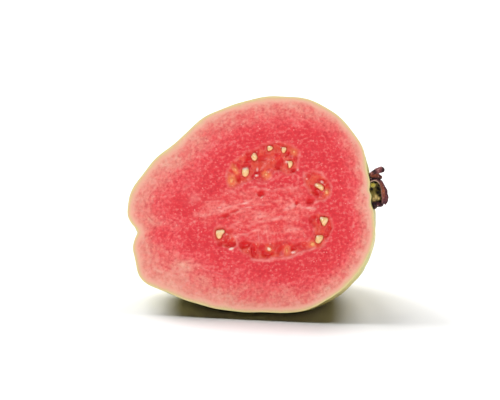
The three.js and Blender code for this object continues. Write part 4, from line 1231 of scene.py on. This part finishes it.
# ----------------------------------------------------------------------- stage
bpy.ops.mesh.primitive_grid_add(x_subdivisions=8, y_subdivisions=8, size=12, location=(0, 0, -0.00002))
floor = bpy.context.object
floor.name = "pale_floor"
floor.data.materials.append(floor_material())

# ---------------------------------------------------------------------- camera
AZ, EL = math.radians(7), math.radians(17)
back = np.array([math.sin(AZ) * math.cos(EL), -math.cos(AZ) * math.cos(EL), math.sin(EL)])
right = np.array([math.cos(AZ), math.sin(AZ), 0.0])
up = np.cross(back, right)
F = 100 / 36 * 500
ray = -back + right * (255 - 250) / F + up * (200 - 210.5) / F
eye = (SHIFT - ray * 486.0) / 1000
cam_data = bpy.data.cameras.new("camera")
cam_data.lens = 100
cam_data.sensor_width = 36
cam_data.sensor_fit = "HORIZONTAL"
cam_data.clip_start = 0.01
cam_data.clip_end = 50
camera = bpy.data.objects.new("camera", cam_data)
bpy.context.scene.collection.objects.link(camera)
camera.matrix_world = Matrix([
    [right[0], up[0], back[0], eye[0]],
    [right[1], up[1], back[1], eye[1]],
    [right[2], up[2], back[2], eye[2]],
    [0, 0, 0, 1],
])
bpy.context.scene.camera = camera


# ---------------------------------------------------------------------- lights
def sun(name, azimuth, elevation, strength, angle, only=None, color=(1, 1, 1)):
    """Soft light from a direction: azimuth from the cut's side towards the calyx, elevation above the floor."""
    a, e = math.radians(azimuth), math.radians(elevation)
    data = bpy.data.lights.new(name, "SUN")
    data.energy = strength
    data.angle = math.radians(angle)
    data.color = color
    ob = bpy.data.objects.new(name, data)
    bpy.context.scene.collection.objects.link(ob)
    ob.rotation_mode = "QUATERNION"
    ob.rotation_quaternion = Vector((math.sin(a) * math.cos(e), -math.cos(a) * math.cos(e), math.sin(e))).to_track_quat("Z", "Y")
    if only is not None:
        ob.light_linking.receiver_collection = only
    return ob


# Strong softboxes behind light the table and the calyx; softer ones light the fruit alone.
fruit_only = bpy.data.collections.new("fruit_only")
fruit_back = bpy.data.collections.new("fruit_back")
table_side = bpy.data.collections.new("table_side")
for ob in bpy.context.scene.objects:
    if ob.type == "MESH" and ob != floor:
        fruit_only.objects.link(ob)
    if ob.type == "MESH":
        (fruit_back if ob == fruit or ob.name.startswith("seed_") else table_side).objects.link(ob)
sun("softbox_back_left", 240, 43, 2.8, 28, table_side)
sun("softbox_back", 215, 62, 1.65, 26, table_side)
sun("softbox_back_right", 152, 54, 2.2, 34, table_side)
sun("softbox_fruit_left", 232, 48, 1.5, 30, fruit_back)
sun("softbox_fruit_right", 150, 40, 0.7, 45, fruit_back)
sun("softbox_front_left", -35, 38, 1.37, 12, fruit_only)
sun("softbox_front_right", 40, 28, 1.13, 30, fruit_only)

world = bpy.data.worlds.new("studio")
bpy.context.scene.world = world
world.use_nodes = True
world.node_tree.nodes["Background"].inputs[0].default_value = (1, 0.88, 0.70, 1)
world.node_tree.nodes["Background"].inputs[1].default_value = 0.015

view = bpy.context.scene.view_settings
view.view_transform = "Standard"
view.look = "None"
view.exposure = 0
view.gamma = 1
